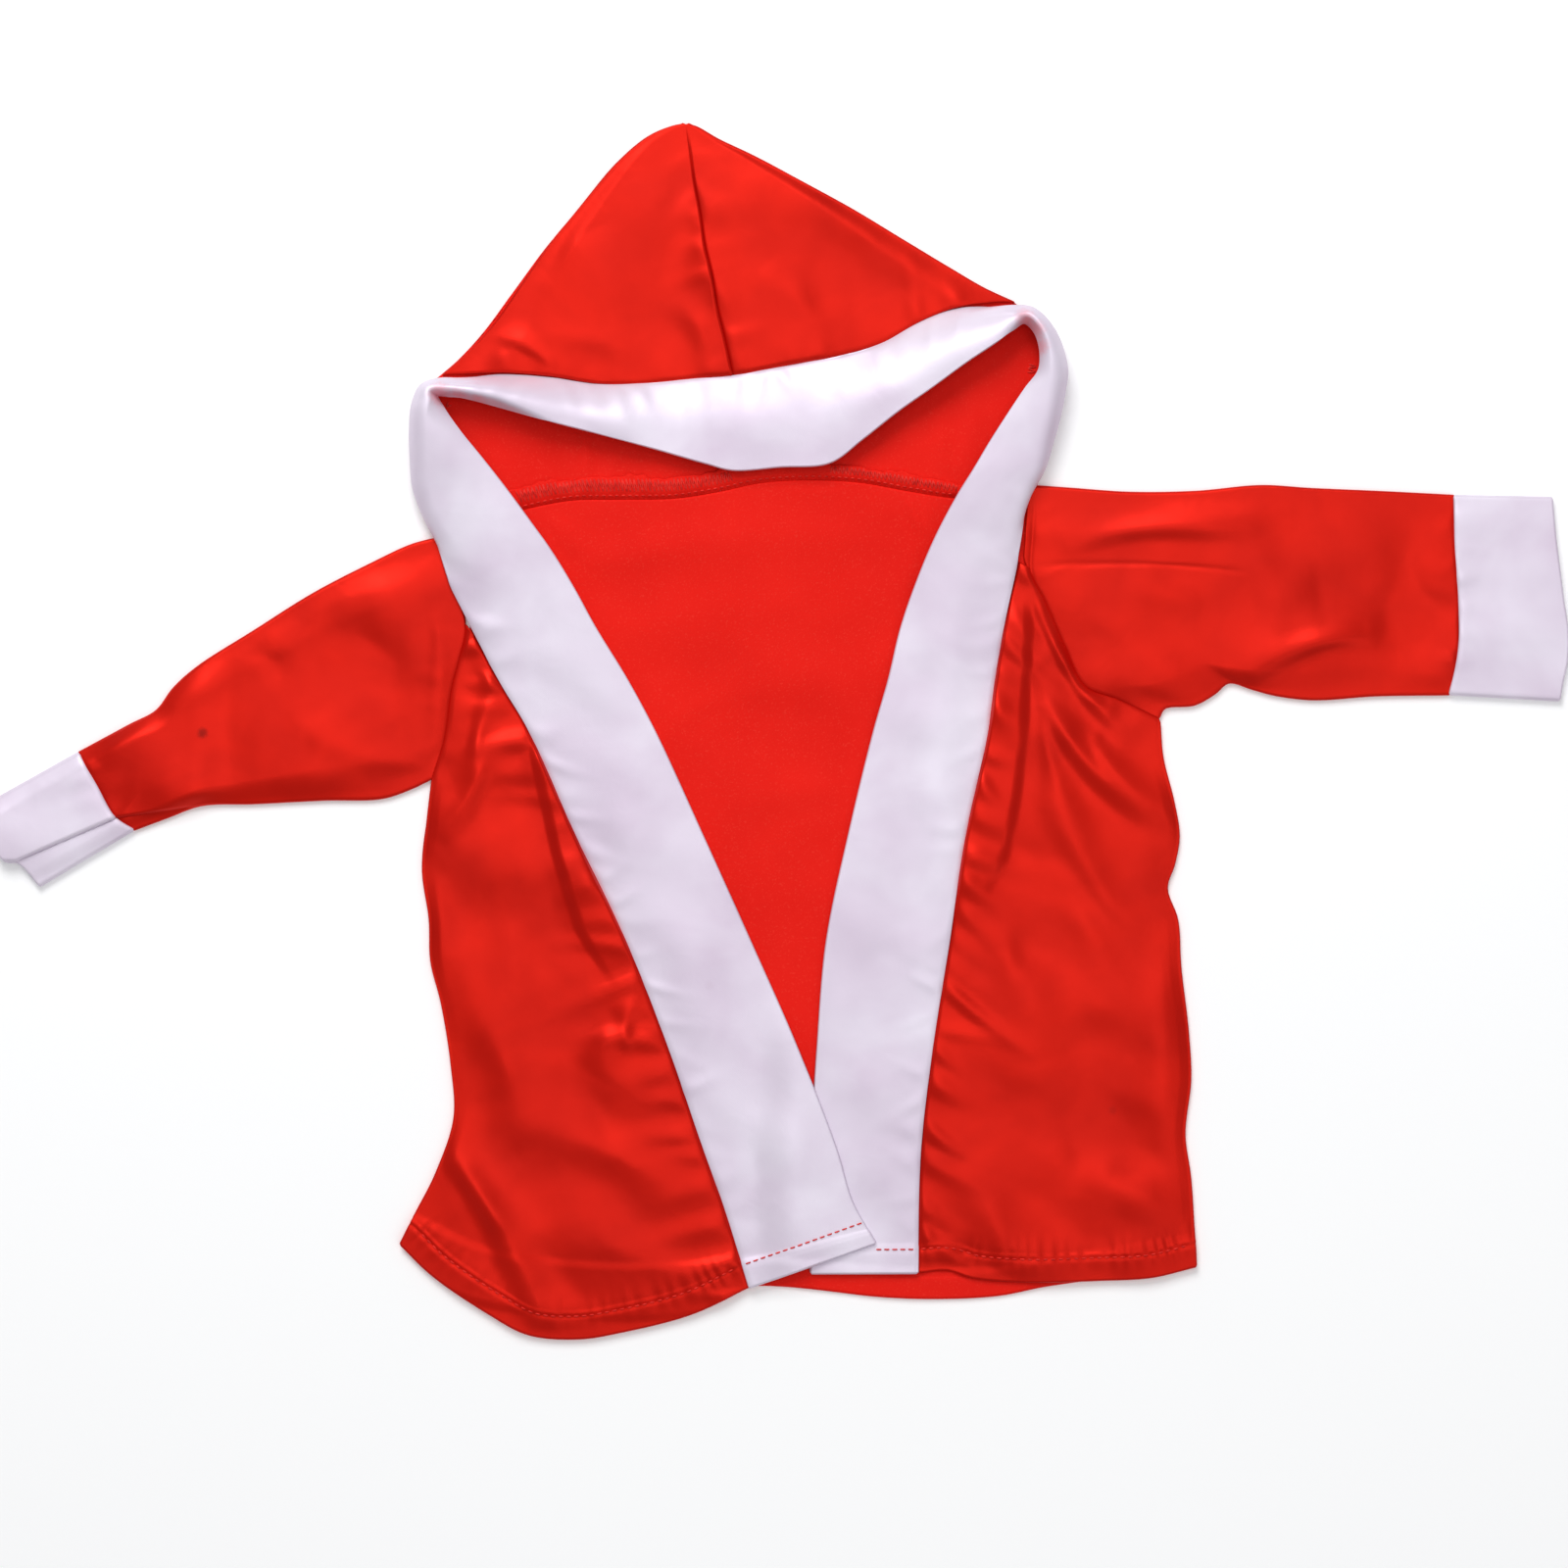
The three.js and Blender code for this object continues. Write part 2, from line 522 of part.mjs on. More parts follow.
// ---- Seams that several pieces share ----
// The strip's sewn edge, from a share of its length to its end, moved sideways by gap.
const bandSeam = (rows, from, gap) => {
  const curve = curveThrough(rows, "outerX", "outerY");
  return (t) => {
    const p = curve.getPoint(lerp(from, 1, t));
    return { x: p.x + gap, y: p.y };
  };
};
const armholeLeft = edge(ARMHOLE_LEFT);
const armholeRight = edge(ARMHOLE_RIGHT);
const neckLeft = edge(NECK_LEFT);
const neckRight = edge(NECK_RIGHT);
const backHem = edge(HEM_BACK);

// An edge moved sideways, to the left of its run where distance is positive.
const shifted = (along, distance) => (t) => {
  const [before, after, p] = [along(t - 0.01), along(t + 0.01), along(t)];
  const length = Math.hypot(after.x - before.x, after.y - before.y);
  const x = p.x - (distance * (after.y - before.y)) / length;
  const y = p.y + (distance * (after.x - before.x)) / length;
  return { x, y };
};

// How far the round folds at a flat tube's edges reach in, as a share of its width.
const foldInset = (width, thick) => (thick + SEAM_GAP / 2) / width;

// A front's outer edge: down the armhole seam from a share of it, then down the body's side.
// Its rows lie at the shares that meet the sleeve's facets along the armhole.
function frontSide(armhole, from, sideRows, bodyRows) {
  const body = edge(sideRows);
  const split = 0.28; // the share of the edge that lies on the armhole
  const along = (t) =>
    t < split ? armhole(lerp(from, 1, t / split)) : body((t - split) / (1 - split));
  const [top, low] = [armhole(0), armhole(1)];
  const inset = foldInset(Math.hypot(top.x - low.x, top.y - low.y), CLOTH);
  const shares = steps(SLEEVE_ACROSS, inset, 1 - inset).filter((a) => a > from + 0.02);
  const armholeRows = shares.map((a) => (split * (a - from)) / (1 - from));
  return { along, rows: [0, ...armholeRows, ...steps(bodyRows, split, 1)] };
}

// What lifts a layer that lies on the back's hem, and on the right front's band at the lap.
const onBackHem = hemLayer(backHem);
const lapStep = (x, y) => LAP_STEP * smooth((x + 6) / 18) * smooth((-y - 96) / 24);

// ---- The pieces ----
function back() {
  const side = (armhole, recess, sideRows, corner) => {
    const seam = shifted((t) => armhole(lerp(0.02, 1, t)), recess);
    return joined(seam, edge([seam(1), ...sideRows.slice(1, -1), corner]));
  };
  const left = side(armholeLeft, BACK_RECESS, SIDE_LEFT, HEM_BACK[0]);
  const right = side(armholeRight, -BACK_RECESS, SIDE_RIGHT, HEM_BACK.at(-1));
  const below = ({ x, y }) => ({ x, y: y - SEAM_GAP - FACET_GAP });
  const top = edge(
    [left(0), ...NECK_LEFT.slice(1).map(below)],
    [...NECK_RIGHT.slice(0, -1).map(below), right(0)],
  );
  const plan = patch(left, right, top, backHem);
  const grid = steps(20).map((v) =>
    steps(12).map((a) => {
      const p = plan(a, v);
      return new THREE.Vector3(p.x, p.y, UNDER);
    }),
  );
  return wall("back", RED_INSIDE, grid, { over: hemmed(backHem), under: CLOTH / 2 });
}

// A front panel, from its armhole and side in to its band. side is -1 where it lies left of
// its band and 1 where it lies right of it.
function front(name, side, { strip, top, armhole, sideRows, bodyRows, hemRows, folds, lap }) {
  const seam = bandSeam(strip, top.band, side * (SEAM_GAP + FACET_GAP));
  const outer = frontSide(armhole, top.armhole, sideRows, bodyRows);
  const start = (t) => ({
    x: lerp(outer.along(0).x, seam(0).x, t),
    y: lerp(outer.along(0).y, seam(0).y, t),
  });
  const hem = edge(side < 0 ? [...hemRows.slice(0, -1), seam(1)] : [seam(1), ...hemRows.slice(1)]);
  const across = 10;
  const plan =
    side < 0
      ? patch(outer.along, seam, start, hem)
      : patch(seam, outer.along, (t) => start(1 - t), hem);
  const grid = outer.rows.map((v) => {
    const [from, to] = [outer.along(v), seam(v)];
    const width = Math.hypot(from.x - to.x, from.y - to.y);
    return steps(across).map((a) => {
      const p = plan(a, v);
      const inwards = (side < 0 ? a : 1 - a) * width;
      const loft = LOFT * (1 - Math.exp(-inwards / 9));
      const fold = foldHeight(folds, p.x, p.y) * smooth(inwards / 6 + 0.2);
      const z = UPPER + loft + fold + onBackHem(p) + (lap ? lap(p.x, p.y) : 0);
      return new THREE.Vector3(p.x, p.y, z);
    });
  });
  return wall(name, RED, grid, { over: hemmed(hem), under: CLOTH / 2 });
}

// A flattened tube between two folded edges. Its upper layer lies over its lower one, and the
// two turn into each other in a round fold at either edge.
function flatTube(name, colour, { top, low, start, end, thick, rows, across, below, raise, gap }) {
  const plan = patch(top, low, start, end);
  const length = Math.hypot(top(0).x - top(1).x, top(0).y - top(1).y);
  const lowerZ = thick / 2;
  const upperZ = thick + SEAM_GAP + thick / 2;
  const grid = steps(rows, gap.start / length, 1 - gap.end / length).map((v) => {
    const width = Math.hypot(plan(0, v).x - plan(1, v).x, plan(0, v).y - plan(1, v).y);
    const inset = foldInset(width, thick);
    const turn = thick / 2 / width;
    const upper = steps(across, inset, 1 - inset).map((a) => {
      const p = plan(a, v);
      const loft = LOFT + raise(p.x, p.y);
      return new THREE.Vector3(p.x, p.y, upperZ + loft * smooth(5 * Math.min(a, 1 - a)));
    });
    const lower = steps(below, 1 - inset, inset).map((a) => {
      const p = plan(a, v);
      return new THREE.Vector3(p.x, p.y, lowerZ);
    });
    const fold = (a) => {
      const p = plan(a, v);
      return new THREE.Vector3(p.x, p.y, (lowerZ + upperZ) / 2);
    };
    return [...upper, fold(1 - turn), ...lower, fold(turn)];
  });
  return wall(name, colour, grid, { over: thick / 2, under: thick / 2, ring: true });
}

// The left sleeve's upper layer stands a step over the strip of the lower one that peeks out.
function overhang(x, y) {
  const { x0, y0, x1, y1, x2, y2, step } = OVERHANG;
  const crease =
    x > x1 ? lerp(y1, y0, (x - x1) / (x0 - x1)) : lerp(y2, y1, (x - x2) / (x1 - x2));
  return step * smooth((y - crease) / 3 + 0.5) * smooth((x0 + 25 - x) / 20);
}

function sleeve(name, { top, low, armhole, side, cuffSeam, rows, raise }) {
  return flatTube(name, RED, {
    top: edge(top),
    low: edge(low),
    start: shifted(armhole, side * (SEAM_GAP + 1.2 * FACET_GAP)),
    end: edge(cuffSeam),
    thick: CLOTH,
    rows,
    across: SLEEVE_ACROSS,
    below: 8,
    raise,
    gap: { start: 0, end: SEAM_GAP / 2 + FACET_GAP / 4 },
  });
}

function cuff(name, { top, low, seam, end, raise }) {
  return flatTube(name, WHITE, {
    top: edge([top.at(-1), end[0]]),
    low: edge([low.at(-1), end.at(-1)]),
    start: edge(seam),
    end: edge(end),
    thick: DOUBLED,
    rows: 4,
    across: SLEEVE_ACROSS,
    below: 8,
    raise,
    gap: { start: SEAM_GAP / 2 + FACET_GAP / 4, end: 0 },
  });
}

// Half the hood: an upper layer from the centre seam out to the fold at the side, and an under
// layer from there back to the centre. Both fan out from the point, and side is -1 or 1.
function hoodHalf(name, side, foldRows, sideEdge, neck) {
  const seam = curveThrough(BAND_HOOD, "outerX", "outerY");
  const facets = side < 0 ? 14 : 16; // the strip's facets from the centre seam to the corner
  const along = (a) => seam.getPoint(HOOD_CENTRE + (side * a * facets) / HOOD_SECTIONS);
  const stripEdge = shifted(along, side * (SEAM_GAP + FACET_GAP));
  const fold = (from) => {
    let k = 0;
    while (k < foldRows.length - 2 && from > foldRows[k + 1].from) k += 1;
    const [near, far] = [foldRows[k], foldRows[k + 1]];
    const t = (from - near.from) / (far.from - near.from);
    return { x: lerp(near.x, far.x, t), y: lerp(near.y, far.y, t) };
  };
  const sideShare = 0.3; // the share of the under layer's edge that lies under the side band
  const underEdge = (a) =>
    a < sideShare ? sideEdge(a / sideShare) : neck((a - sideShare) / (1 - sideShare));
  // A place on one layer: from is the share of the way from the point, and a runs along the
  // layer's edge, from the place near to the place far.
  const place = (rim, near, far, from, a) => {
    const [r0, r1] = [rim(0), rim(1)];
    const x = lerp(near.x, far.x, a) + from * (rim(a).x - lerp(r0.x, r1.x, a));
    const y = lerp(near.y, far.y, a) + from * (rim(a).y - lerp(r0.y, r1.y, a));
    return { x, y };
  };
  const ray = (rim, from) => ({
    x: lerp(PEAK.x, rim.x, from) + (side * SEAM_GAP) / 2,
    y: lerp(PEAK.y - CLOTH / 2, rim.y, from),
  });
  const turnRadius = (UPPER - UNDER) / 2;
  const fans = [0.03, 0.09, 0.18, 0.28, 0.4, 0.52, 0.64, 0.76, 0.88, 1];
  const grid = fans.map((from) => {
    const crease = fold(from);
    const upperSeam = ray(stripEdge(0), from);
    const underSeam = ray(underEdge(1), from);
    const width = Math.hypot(crease.x - upperSeam.x, crease.y - upperSeam.y);
    const inset = Math.min(foldInset(width, CLOTH), 0.4);
    const rolled = Math.min(0.08 * from, inset);
    const upper = steps(facets, 0, 1).map((a) => {
      const p = place(stripEdge, upperSeam, crease, from, a * (1 - inset + rolled));
      const spread = smooth(from * 3) * smooth((1 - a) * 6);
      const raised = LOFT + foldHeight(FOLDS_HOOD, p.x, p.y);
      return new THREE.Vector3(p.x, p.y, UPPER + raised * spread);
    });
    const outermost = place(stripEdge, upperSeam, crease, from, 1 - inset * 0.4 + rolled);
    const under = steps(10, inset - rolled, 1).map((a) => {
      const p = place(underEdge, crease, underSeam, from, a);
      return new THREE.Vector3(p.x, p.y, UNDER);
    });
    return [...upper, new THREE.Vector3(outermost.x, outermost.y, UNDER + turnRadius), ...under];
  });
  // The fold's inside is thin where it ends at the corner, under the strip's own corner.
  const atCorner = (i, j) => i === fans.length - 1 && j === facets + 1;
  const inside = (p, i, j) => (atCorner(i, j) ? 0.3 : CLOTH / 2);
  return wall(name, RED, grid, { over: CLOTH / 2, under: inside });
}

// A stretch of the doubled strip, section by section.
function band(name, rows, { sections, gap, lap = () => 0 }) {
  const outer = curveThrough(rows, "outerX", "outerY");
  const inner = curveThrough(rows, "innerX", "innerY");
  const length = outer.getLength();
  const across = [0, 0.08, 0.16, 0.24, 0.33, 0.5, 0.66, 0.83, 1];
  const rolled = 0.33; // the share of the strip that turns over in a full curl
  const shares = steps(sections);
  shares[0] = gap.start / length;
  shares[sections] = 1 - gap.end / length;
  const grid = shares.map((t) => {
    const seam = outer.getPoint(t);
    const free = inner.getPoint(t);
    const width = seam.distanceTo(free);
    const [lift, rise, curl] = ["lift", "rise", "curl"].map((key) => column(rows, key, t));
    const tuck = Math.min(0.45 * width, 0.4 * rise, 6);
    const sag = Math.min(0.2 * rise, 0.3 * (width - tuck));
    return across.map((s) => {
      const turn = Math.PI * Math.min(s / rolled, 1);
      const past = Math.max(s - rolled, 0) / (1 - rolled);
      const rollX = s < rolled ? tuck * (1 - Math.sin(turn)) : lerp(tuck, width, past);
      const rollZ = (rise / 2) * (1 - Math.cos(turn)) - sag * past * past;
      const flatZ = (rise / 2) * (1 - Math.cos(Math.PI * Math.min(1, s * 1.15)));
      const d = lerp(s * width, rollX + DOUBLED / 2, curl);
      const x = lerp(seam.x, free.x, d / width);
      const y = lerp(seam.y, free.y, d / width);
      const lay = SEAM_LOFT * (1 - s) * (1 - curl) + onBackHem({ x, y }) + lap(x, y);
      return new THREE.Vector3(x, y, BAND_BASE + lift + lay + lerp(flatZ, rollZ, curl));
    });
  });
  return wall(name, WHITE, grid, { over: DOUBLED / 2, under: DOUBLED / 2, mitred: true });
}

// The overlocked allowance of the neck seam, turned up onto the hood.
function neckAllowance() {
  const seam = edge(NECK_LEFT.slice(2), NECK_RIGHT.slice(0, -1));
  const grid = steps(20, 0.03, 0.94).map((t) => {
    const p = seam(t);
    const wave = 0.5 * Math.sin(t * 31) + 0.3 * Math.sin(t * 67);
    return steps(2).map((s) => {
      const z = UPPER + 0.25 * Math.sin(Math.PI * s) + 0.1 * s;
      return new THREE.Vector3(p.x, p.y + 0.5 + (1 - s) * (ALLOWANCE + wave), z);
    });
  });
  return wall("neck_allowance", RED_INSIDE, grid, { over: CLOTH / 2, under: CLOTH / 2 });
}

const robe = new THREE.Group();
robe.add(
  back(),
  front("front_left", -1, {
    strip: BAND_LEFT,
    top: FRONT_LEFT_TOP,
    armhole: armholeLeft,
    sideRows: SIDE_LEFT,
    bodyRows: 16,
    hemRows: HEM_LEFT,
    folds: FOLDS_LEFT,
    lap: lapStep,
  }),
  front("front_right", 1, {
    strip: BAND_RIGHT,
    top: FRONT_RIGHT_TOP,
    armhole: armholeRight,
    sideRows: SIDE_RIGHT,
    bodyRows: 16,
    hemRows: HEM_RIGHT,
    folds: FOLDS_RIGHT,
  }),
  sleeve("sleeve_left", {
    top: SLEEVE_LEFT_TOP,
    low: SLEEVE_LEFT_LOW,
    armhole: armholeLeft,
    side: -1,
    cuffSeam: CUFF_LEFT_SEAM,
    rows: 12,
    raise: (x, y) => foldHeight(FOLDS_SLEEVE_LEFT, x, y) + overhang(x, y),
  }),
  sleeve("sleeve_right", {
    top: SLEEVE_RIGHT_TOP,
    low: SLEEVE_RIGHT_LOW,
    armhole: armholeRight,
    side: 1,
    cuffSeam: CUFF_RIGHT_SEAM,
    rows: 14,
    raise: (x, y) => foldHeight(FOLDS_SLEEVE_RIGHT, x, y),
  }),
  cuff("cuff_left", {
    top: SLEEVE_LEFT_TOP,
    low: SLEEVE_LEFT_LOW,
    seam: CUFF_LEFT_SEAM,
    end: CUFF_LEFT_END,
    raise: overhang,
  }),
  cuff("cuff_right", {
    top: SLEEVE_RIGHT_TOP,
    low: SLEEVE_RIGHT_LOW,
    seam: CUFF_RIGHT_SEAM,
    end: CUFF_RIGHT_END,
    raise: () => 0,
  }),
  hoodHalf("hood_left", -1, HOOD_FOLD_LEFT, edge(HOOD_EDGE_LEFT), neckLeft),
  hoodHalf("hood_right", 1, HOOD_FOLD_RIGHT, edge(HOOD_EDGE_RIGHT), (t) => neckRight(1 - t)),
  neckAllowance(),
  band("band_left", BAND_LEFT, {
    sections: 24,
    gap: { start: STRETCH_GAP / 2, end: 0 },
    lap: lapStep,
  }),
  band("band_hood", BAND_HOOD, {
    sections: HOOD_SECTIONS,
    gap: { start: STRETCH_GAP / 2, end: STRETCH_GAP / 2 },
  }),
  band("band_right", BAND_RIGHT, { sections: 20, gap: { start: STRETCH_GAP / 2, end: 0 } }),
);

export default robe;
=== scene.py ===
"""A very small hooded boxing robe in satin, laid flat. Tables are in mm, the scene is in metres."""

import math

import bpy
import numpy as np
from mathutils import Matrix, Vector


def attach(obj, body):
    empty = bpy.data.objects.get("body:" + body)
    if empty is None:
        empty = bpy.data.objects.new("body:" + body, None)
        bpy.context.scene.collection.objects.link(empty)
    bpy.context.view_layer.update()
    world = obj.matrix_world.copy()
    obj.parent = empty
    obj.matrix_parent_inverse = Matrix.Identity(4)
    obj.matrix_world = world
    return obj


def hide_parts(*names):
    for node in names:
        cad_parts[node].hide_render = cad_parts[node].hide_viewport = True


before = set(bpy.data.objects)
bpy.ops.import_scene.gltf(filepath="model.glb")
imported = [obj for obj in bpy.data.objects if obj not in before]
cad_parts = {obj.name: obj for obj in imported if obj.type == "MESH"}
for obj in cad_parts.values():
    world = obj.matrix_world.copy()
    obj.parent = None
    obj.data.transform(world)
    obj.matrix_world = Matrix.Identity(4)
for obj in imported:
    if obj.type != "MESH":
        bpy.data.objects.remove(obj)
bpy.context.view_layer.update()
scene = bpy.context.scene
bpy.ops.object.select_all(action="DESELECT")

MM = 0.001

# ---- Camera, straight above ----
VIEW_CENTRE = (5.6, -20.1)  # mm
VIEW_WIDTH = 600.0  # mm across the view
CAMERA_HEIGHT = 2.0  # m
camera_data = bpy.data.cameras.new("camera")
camera_data.sensor_width = 36.0
camera_data.lens = camera_data.sensor_width * CAMERA_HEIGHT / (VIEW_WIDTH * MM)
camera_data.clip_start = 0.05
camera = bpy.data.objects.new("camera", camera_data)
camera.location = (VIEW_CENTRE[0] * MM, VIEW_CENTRE[1] * MM, CAMERA_HEIGHT)
scene.collection.objects.link(camera)
scene.camera = camera

# ---- Sizes, mm ----
CLOTH = 0.9  # one layer of satin
DOUBLED = 1.4  # the folded strip of the band and the cuffs
UNDER = 0.5  # mid height of the layer on the surface
UPPER = 1.8  # mid height of a layer laid on it
BAND_BASE = 2.05  # mid height of the band laid on it
LOFT = 1.2  # how far a laid layer stands off in its middle
SEAM_LOFT = 0.9  # the allowances under the band's seam
LAP_STEP = 2.3  # the left front over the right band
HEM_DEPTH = 10.0
HEM_STITCH = 8.6  # from the hem to its stitch line
BAND_STITCH = 8.8  # the same at the strip's ends
HEM_EXTRA = 0.5  # the hem's second layer
ALLOWANCE = 8.2  # depth of the neck seam's allowance at its left end
SEAM_GAP = 0.3
FACET_GAP = 0.2
FOLD_INSET = 1.15  # from a single cloth's folded edge to where its round turn starts
DOUBLED_INSET = 1.65  # the same for the doubled strip
TURNS = np.linspace(0, math.pi, 7)[1:-1]  # angles round that turn
PEAK = np.array([-31.9, 232.4])  # the hood's point

# ---- Sections of the strip: outer x and y (sewn), inner x and y (free), lift, rise, curl ----
# lift is the cloth under it, rise how high it stands up and curl how far it rolls over.
BAND_LEFT = [
    (-133, 132, -127.4, 128.4, 0, 14, 1), (-136.4, 124.5, -124.6, 122.6, 0, 15, 1),
    (-137.3, 115, -118.6, 114.3, 0, 14, 1), (-137.1, 104, -110.2, 104, 0, 12, 1),
    (-136.2, 92.5, -101.2, 92.5, 0.5, 9, 1), (-132.6, 80, -91.9, 80, 1.5, 6, 0.8),
    (-128.2, 69, -83.8, 69, 2, 4, 0.4), (-121.3, 55, -75, 55, 2, 2.5, 0),
    (-113.6, 40, -66.8, 40, 1.8, 1.6, 0), (-103.3, 20, -54.6, 20, 0.4, 1.2, 0),
    (-91.5, 0, -43.9, 0, 0, 1, 0), (-73.5, -40, -25.5, -40, 0, 1, 0),
    (-54.4, -80, -7.5, -80, 0, 1, 0), (-38.6, -120, 10.1, -120, 0, 1, 0),
    (-24.8, -160, 25.5, -160, 0, 0.8, 0), (-17.6, -180, 31.2, -179, 0, 0.6, 0),
    (-7.5, -212.1, 40.1, -195.2, 0, 0.2, 0),
]
BAND_RIGHT = [
    (101.2, 161.2, 97.6, 156.4, 0, 14, 1), (109.2, 152.5, 102.4, 151, 0, 15, 1),
    (113.9, 138, 103.6, 138, 0, 14, 1), (113.1, 130, 97.9, 130, 0, 13, 1),
    (111.2, 120, 91.2, 120, 0, 12, 1), (108.5, 110, 84.8, 110, 0.5, 10, 1),
    (105.8, 100, 78.8, 100, 1.5, 8, 0.9), (101.4, 90, 72.4, 90, 2, 5.5, 0.6),
    (97.4, 75, 64.2, 75, 1.6, 3.5, 0.2), (93.6, 60, 57.6, 60, 0.8, 2.5, 0),
    (89.3, 40, 50.6, 40, 0.3, 2, 0), (85.9, 20, 45.8, 20, 0, 2, 0),
    (83.3, 0, 40.1, 0, 0, 1.6, 0), (74.6, -40, 30.4, -40, 0, 1.2, 0),
    (68.6, -80, 22.1, -80, 0, 1, 0), (62.3, -120, 18.6, -120, 0, 0.8, 0),
    (57.6, -160, 16.3, -160, 0, 0.5, 0), (56.4, -206.6, 16.2, -206.8, 0, 0.2, 0),
]
BAND_HOOD = [
    (-133, 132, -127.4, 128.4, 0, 14, 1), (-126.5, 134.6, -121.8, 128.2, 0, 14, 0.7),
    (-118.1, 135.2, -115.4, 127.2, 0, 14, 0.2), (-103.1, 135.9, -103.1, 123.9, 0, 13, 0),
    (-84.4, 134.8, -84.4, 118.4, 0, 11, 0), (-65.6, 132.2, -65.6, 113.6, 0, 9, 0),
    (-46.9, 132.6, -45, 108.2, 0, 7, 0), (-28.1, 134.4, -24.4, 102.4, 0, 5, 0),
    (-13.9, 135.6, -14, 99.9, 0, 4, 0), (0, 138.1, 4, 101.1, 0, 4, 0),
    (13.1, 140.6, 23, 102.6, 0, 5, 0), (28.1, 143.4, 35.6, 111.6, 0, 7, 0),
    (43.1, 147.9, 48.8, 121.9, 0, 9, 0), (58.1, 156.2, 61.9, 131.1, 0, 10, 0),
    (71.3, 161.1, 75, 140.6, 0, 12, 0), (84.4, 162.9, 86.3, 148.3, 0, 13, 0.2),
    (93.6, 162.9, 92.2, 153, 0, 14, 0.6), (101.2, 161.2, 97.6, 156.4, 0, 14, 1),
]
HOOD_CENTRE = 16 / 34  # where the hood's centre seam meets the strip
HOOD_CORNER = {-1: 14 / 34, 1: 16 / 34}  # from there to the strip's corners
STRIP = {-1: BAND_LEFT, 1: BAND_RIGHT}
FRONT_TOP = {-1: (8.2 / 16, 0.37), 1: (8.7 / 17, 0.285)}  # where a front starts on band and armhole
ARMHOLE_SHARE = 0.28  # of a front's outer edge, and the rest is its side
SIDE_SHARE = 0.3  # of the lower rim of a hood half, and the rest is its neck

# ---- Edges: x, y ----
HOOD_FOLD_LEFT = [  # share of the way from the point, x, y
    (0, -32.2, 232.3), (0.03, -36.8, 231.6), (0.1, -46.5, 227.4), (0.2, -58.2, 217.2),
    (0.35, -71.3, 201.3), (0.5, -83.9, 185.5), (0.65, -94, 170.9), (0.8, -103.6, 157),
    (0.9, -113.4, 146), (1, -124.6, 136.2),
]
HOOD_FOLD_RIGHT = [
    (0, -31.6, 232.3), (0.03, -27.5, 231.2), (0.1, -19.3, 226.4), (0.2, -6.6, 220.2),
    (0.35, 12.3, 210), (0.5, 31.3, 199.6), (0.65, 50.2, 188.2), (0.8, 69.1, 176.8),
    (0.9, 81.8, 169.4), (1, 93.4, 164),
]
NECK_LEFT = [
    (-129, 77.5), (-110, 80.4), (-94, 85), (-76, 88.6), (-58, 89), (-36, 89.4), (-18.8, 92),
]
NECK_RIGHT = [
    (-18.8, 92), (-4, 95.2), (16, 96.4), (36, 95.2), (54, 92), (72, 89.4), (86, 90.4),
    (100.4, 95.6),
]
HOOD_EDGE_LEFT = [
    (-124.6, 136.2), (-131.6, 131), (-134.8, 118), (-134.8, 100), (-132, 86), (-129, 77.5),
]
HOOD_EDGE_RIGHT = [(93.4, 164), (102, 158), (108, 148), (110.6, 132), (107, 113), (100.4, 95.6)]
ARMHOLE_LEFT = [
    (-127.4, 74.4), (-121.4, 62.4), (-117.6, 50), (-116, 39), (-118.4, 28), (-121.5, 16),
    (-124.1, -2.5), (-129, -18.6),
]
ARMHOLE_RIGHT = [
    (101.8, 94.4), (100.6, 75), (100.3, 60), (105, 50.6), (112.9, 32.4), (120.6, 17.4),
    (133, 12.4), (149.2, 4.6),
]
SIDE_LEFT = [
    (-129, -18.6), (-130.9, -35), (-132.6, -53), (-130, -72), (-129.4, -88), (-125.4, -104),
    (-121.6, -128), (-120.6, -148), (-127.5, -169), (-136, -186), (-141, -196),
]
SIDE_RIGHT = [
    (149.2, 4.6), (150.4, -10), (154.6, -27), (156.6, -40), (154.8, -51), (152, -60), (156, -72),
    (157.2, -90), (160, -114), (161, -133), (158.8, -154), (161, -171), (163, -204.4),
]
HEM_LEFT = [
    (-141, -196), (-129, -207.6), (-107, -222.6), (-92, -230.4), (-73, -232), (-56, -229.3),
    (-30, -222.6), (-7.9, -212.1),
]
HEM_RIGHT = [
    (56.8, -206.4), (68, -205.8), (78, -208.7), (99, -210.2), (125, -209.6), (146, -208.4),
    (163, -204.4),
]
HEM_BACK = [
    (-139.4, -194.6), (-110, -208), (-60, -214), (0, -211.6), (43, -215.9), (66, -216.6),
    (88, -215.4), (105, -212), (130, -208.4), (162.4, -203.2),
]
SLEEVE_LEFT_TOP = [
    (-127.4, 74.4), (-137, 71.8), (-152, 64.8), (-174.4, 53.2), (-197, 39), (-219, 25),
    (-228, 17), (-234.6, 8.4), (-245, 2.8), (-264.4, -7.7),
]
SLEEVE_LEFT_LOW = [
    (-129, -18.6), (-137, -22.4), (-148, -26), (-170, -26.6), (-197, -27.9), (-217, -28.6),
    (-230, -33.2), (-242.6, -37.9),
]
SLEEVE_RIGHT_TOP = [
    (101.8, 94.4), (118, 93.2), (140, 91.7), (165, 92.1), (189, 94.3), (208, 93.2), (235, 92),
    (261.8, 90.6),
]
SLEEVE_RIGHT_LOW = [
    (149.2, 4.6), (151.6, 8.4), (163, 9.8), (170.6, 14), (176, 18.2), (185, 15.8), (193, 13.6),
    (208, 11.8), (232, 13.3), (259.9, 13.7),
]
CUFF_LEFT_SEAM = [(-264.4, -7.7), (-257, -20.6), (-250.1, -32.6), (-242.6, -37.9)]
CUFF_LEFT_END = [(-304.9, -30.4), (-297.6, -41), (-291.4, -49.6), (-286.4, -50.4), (-278.3, -59.4)]
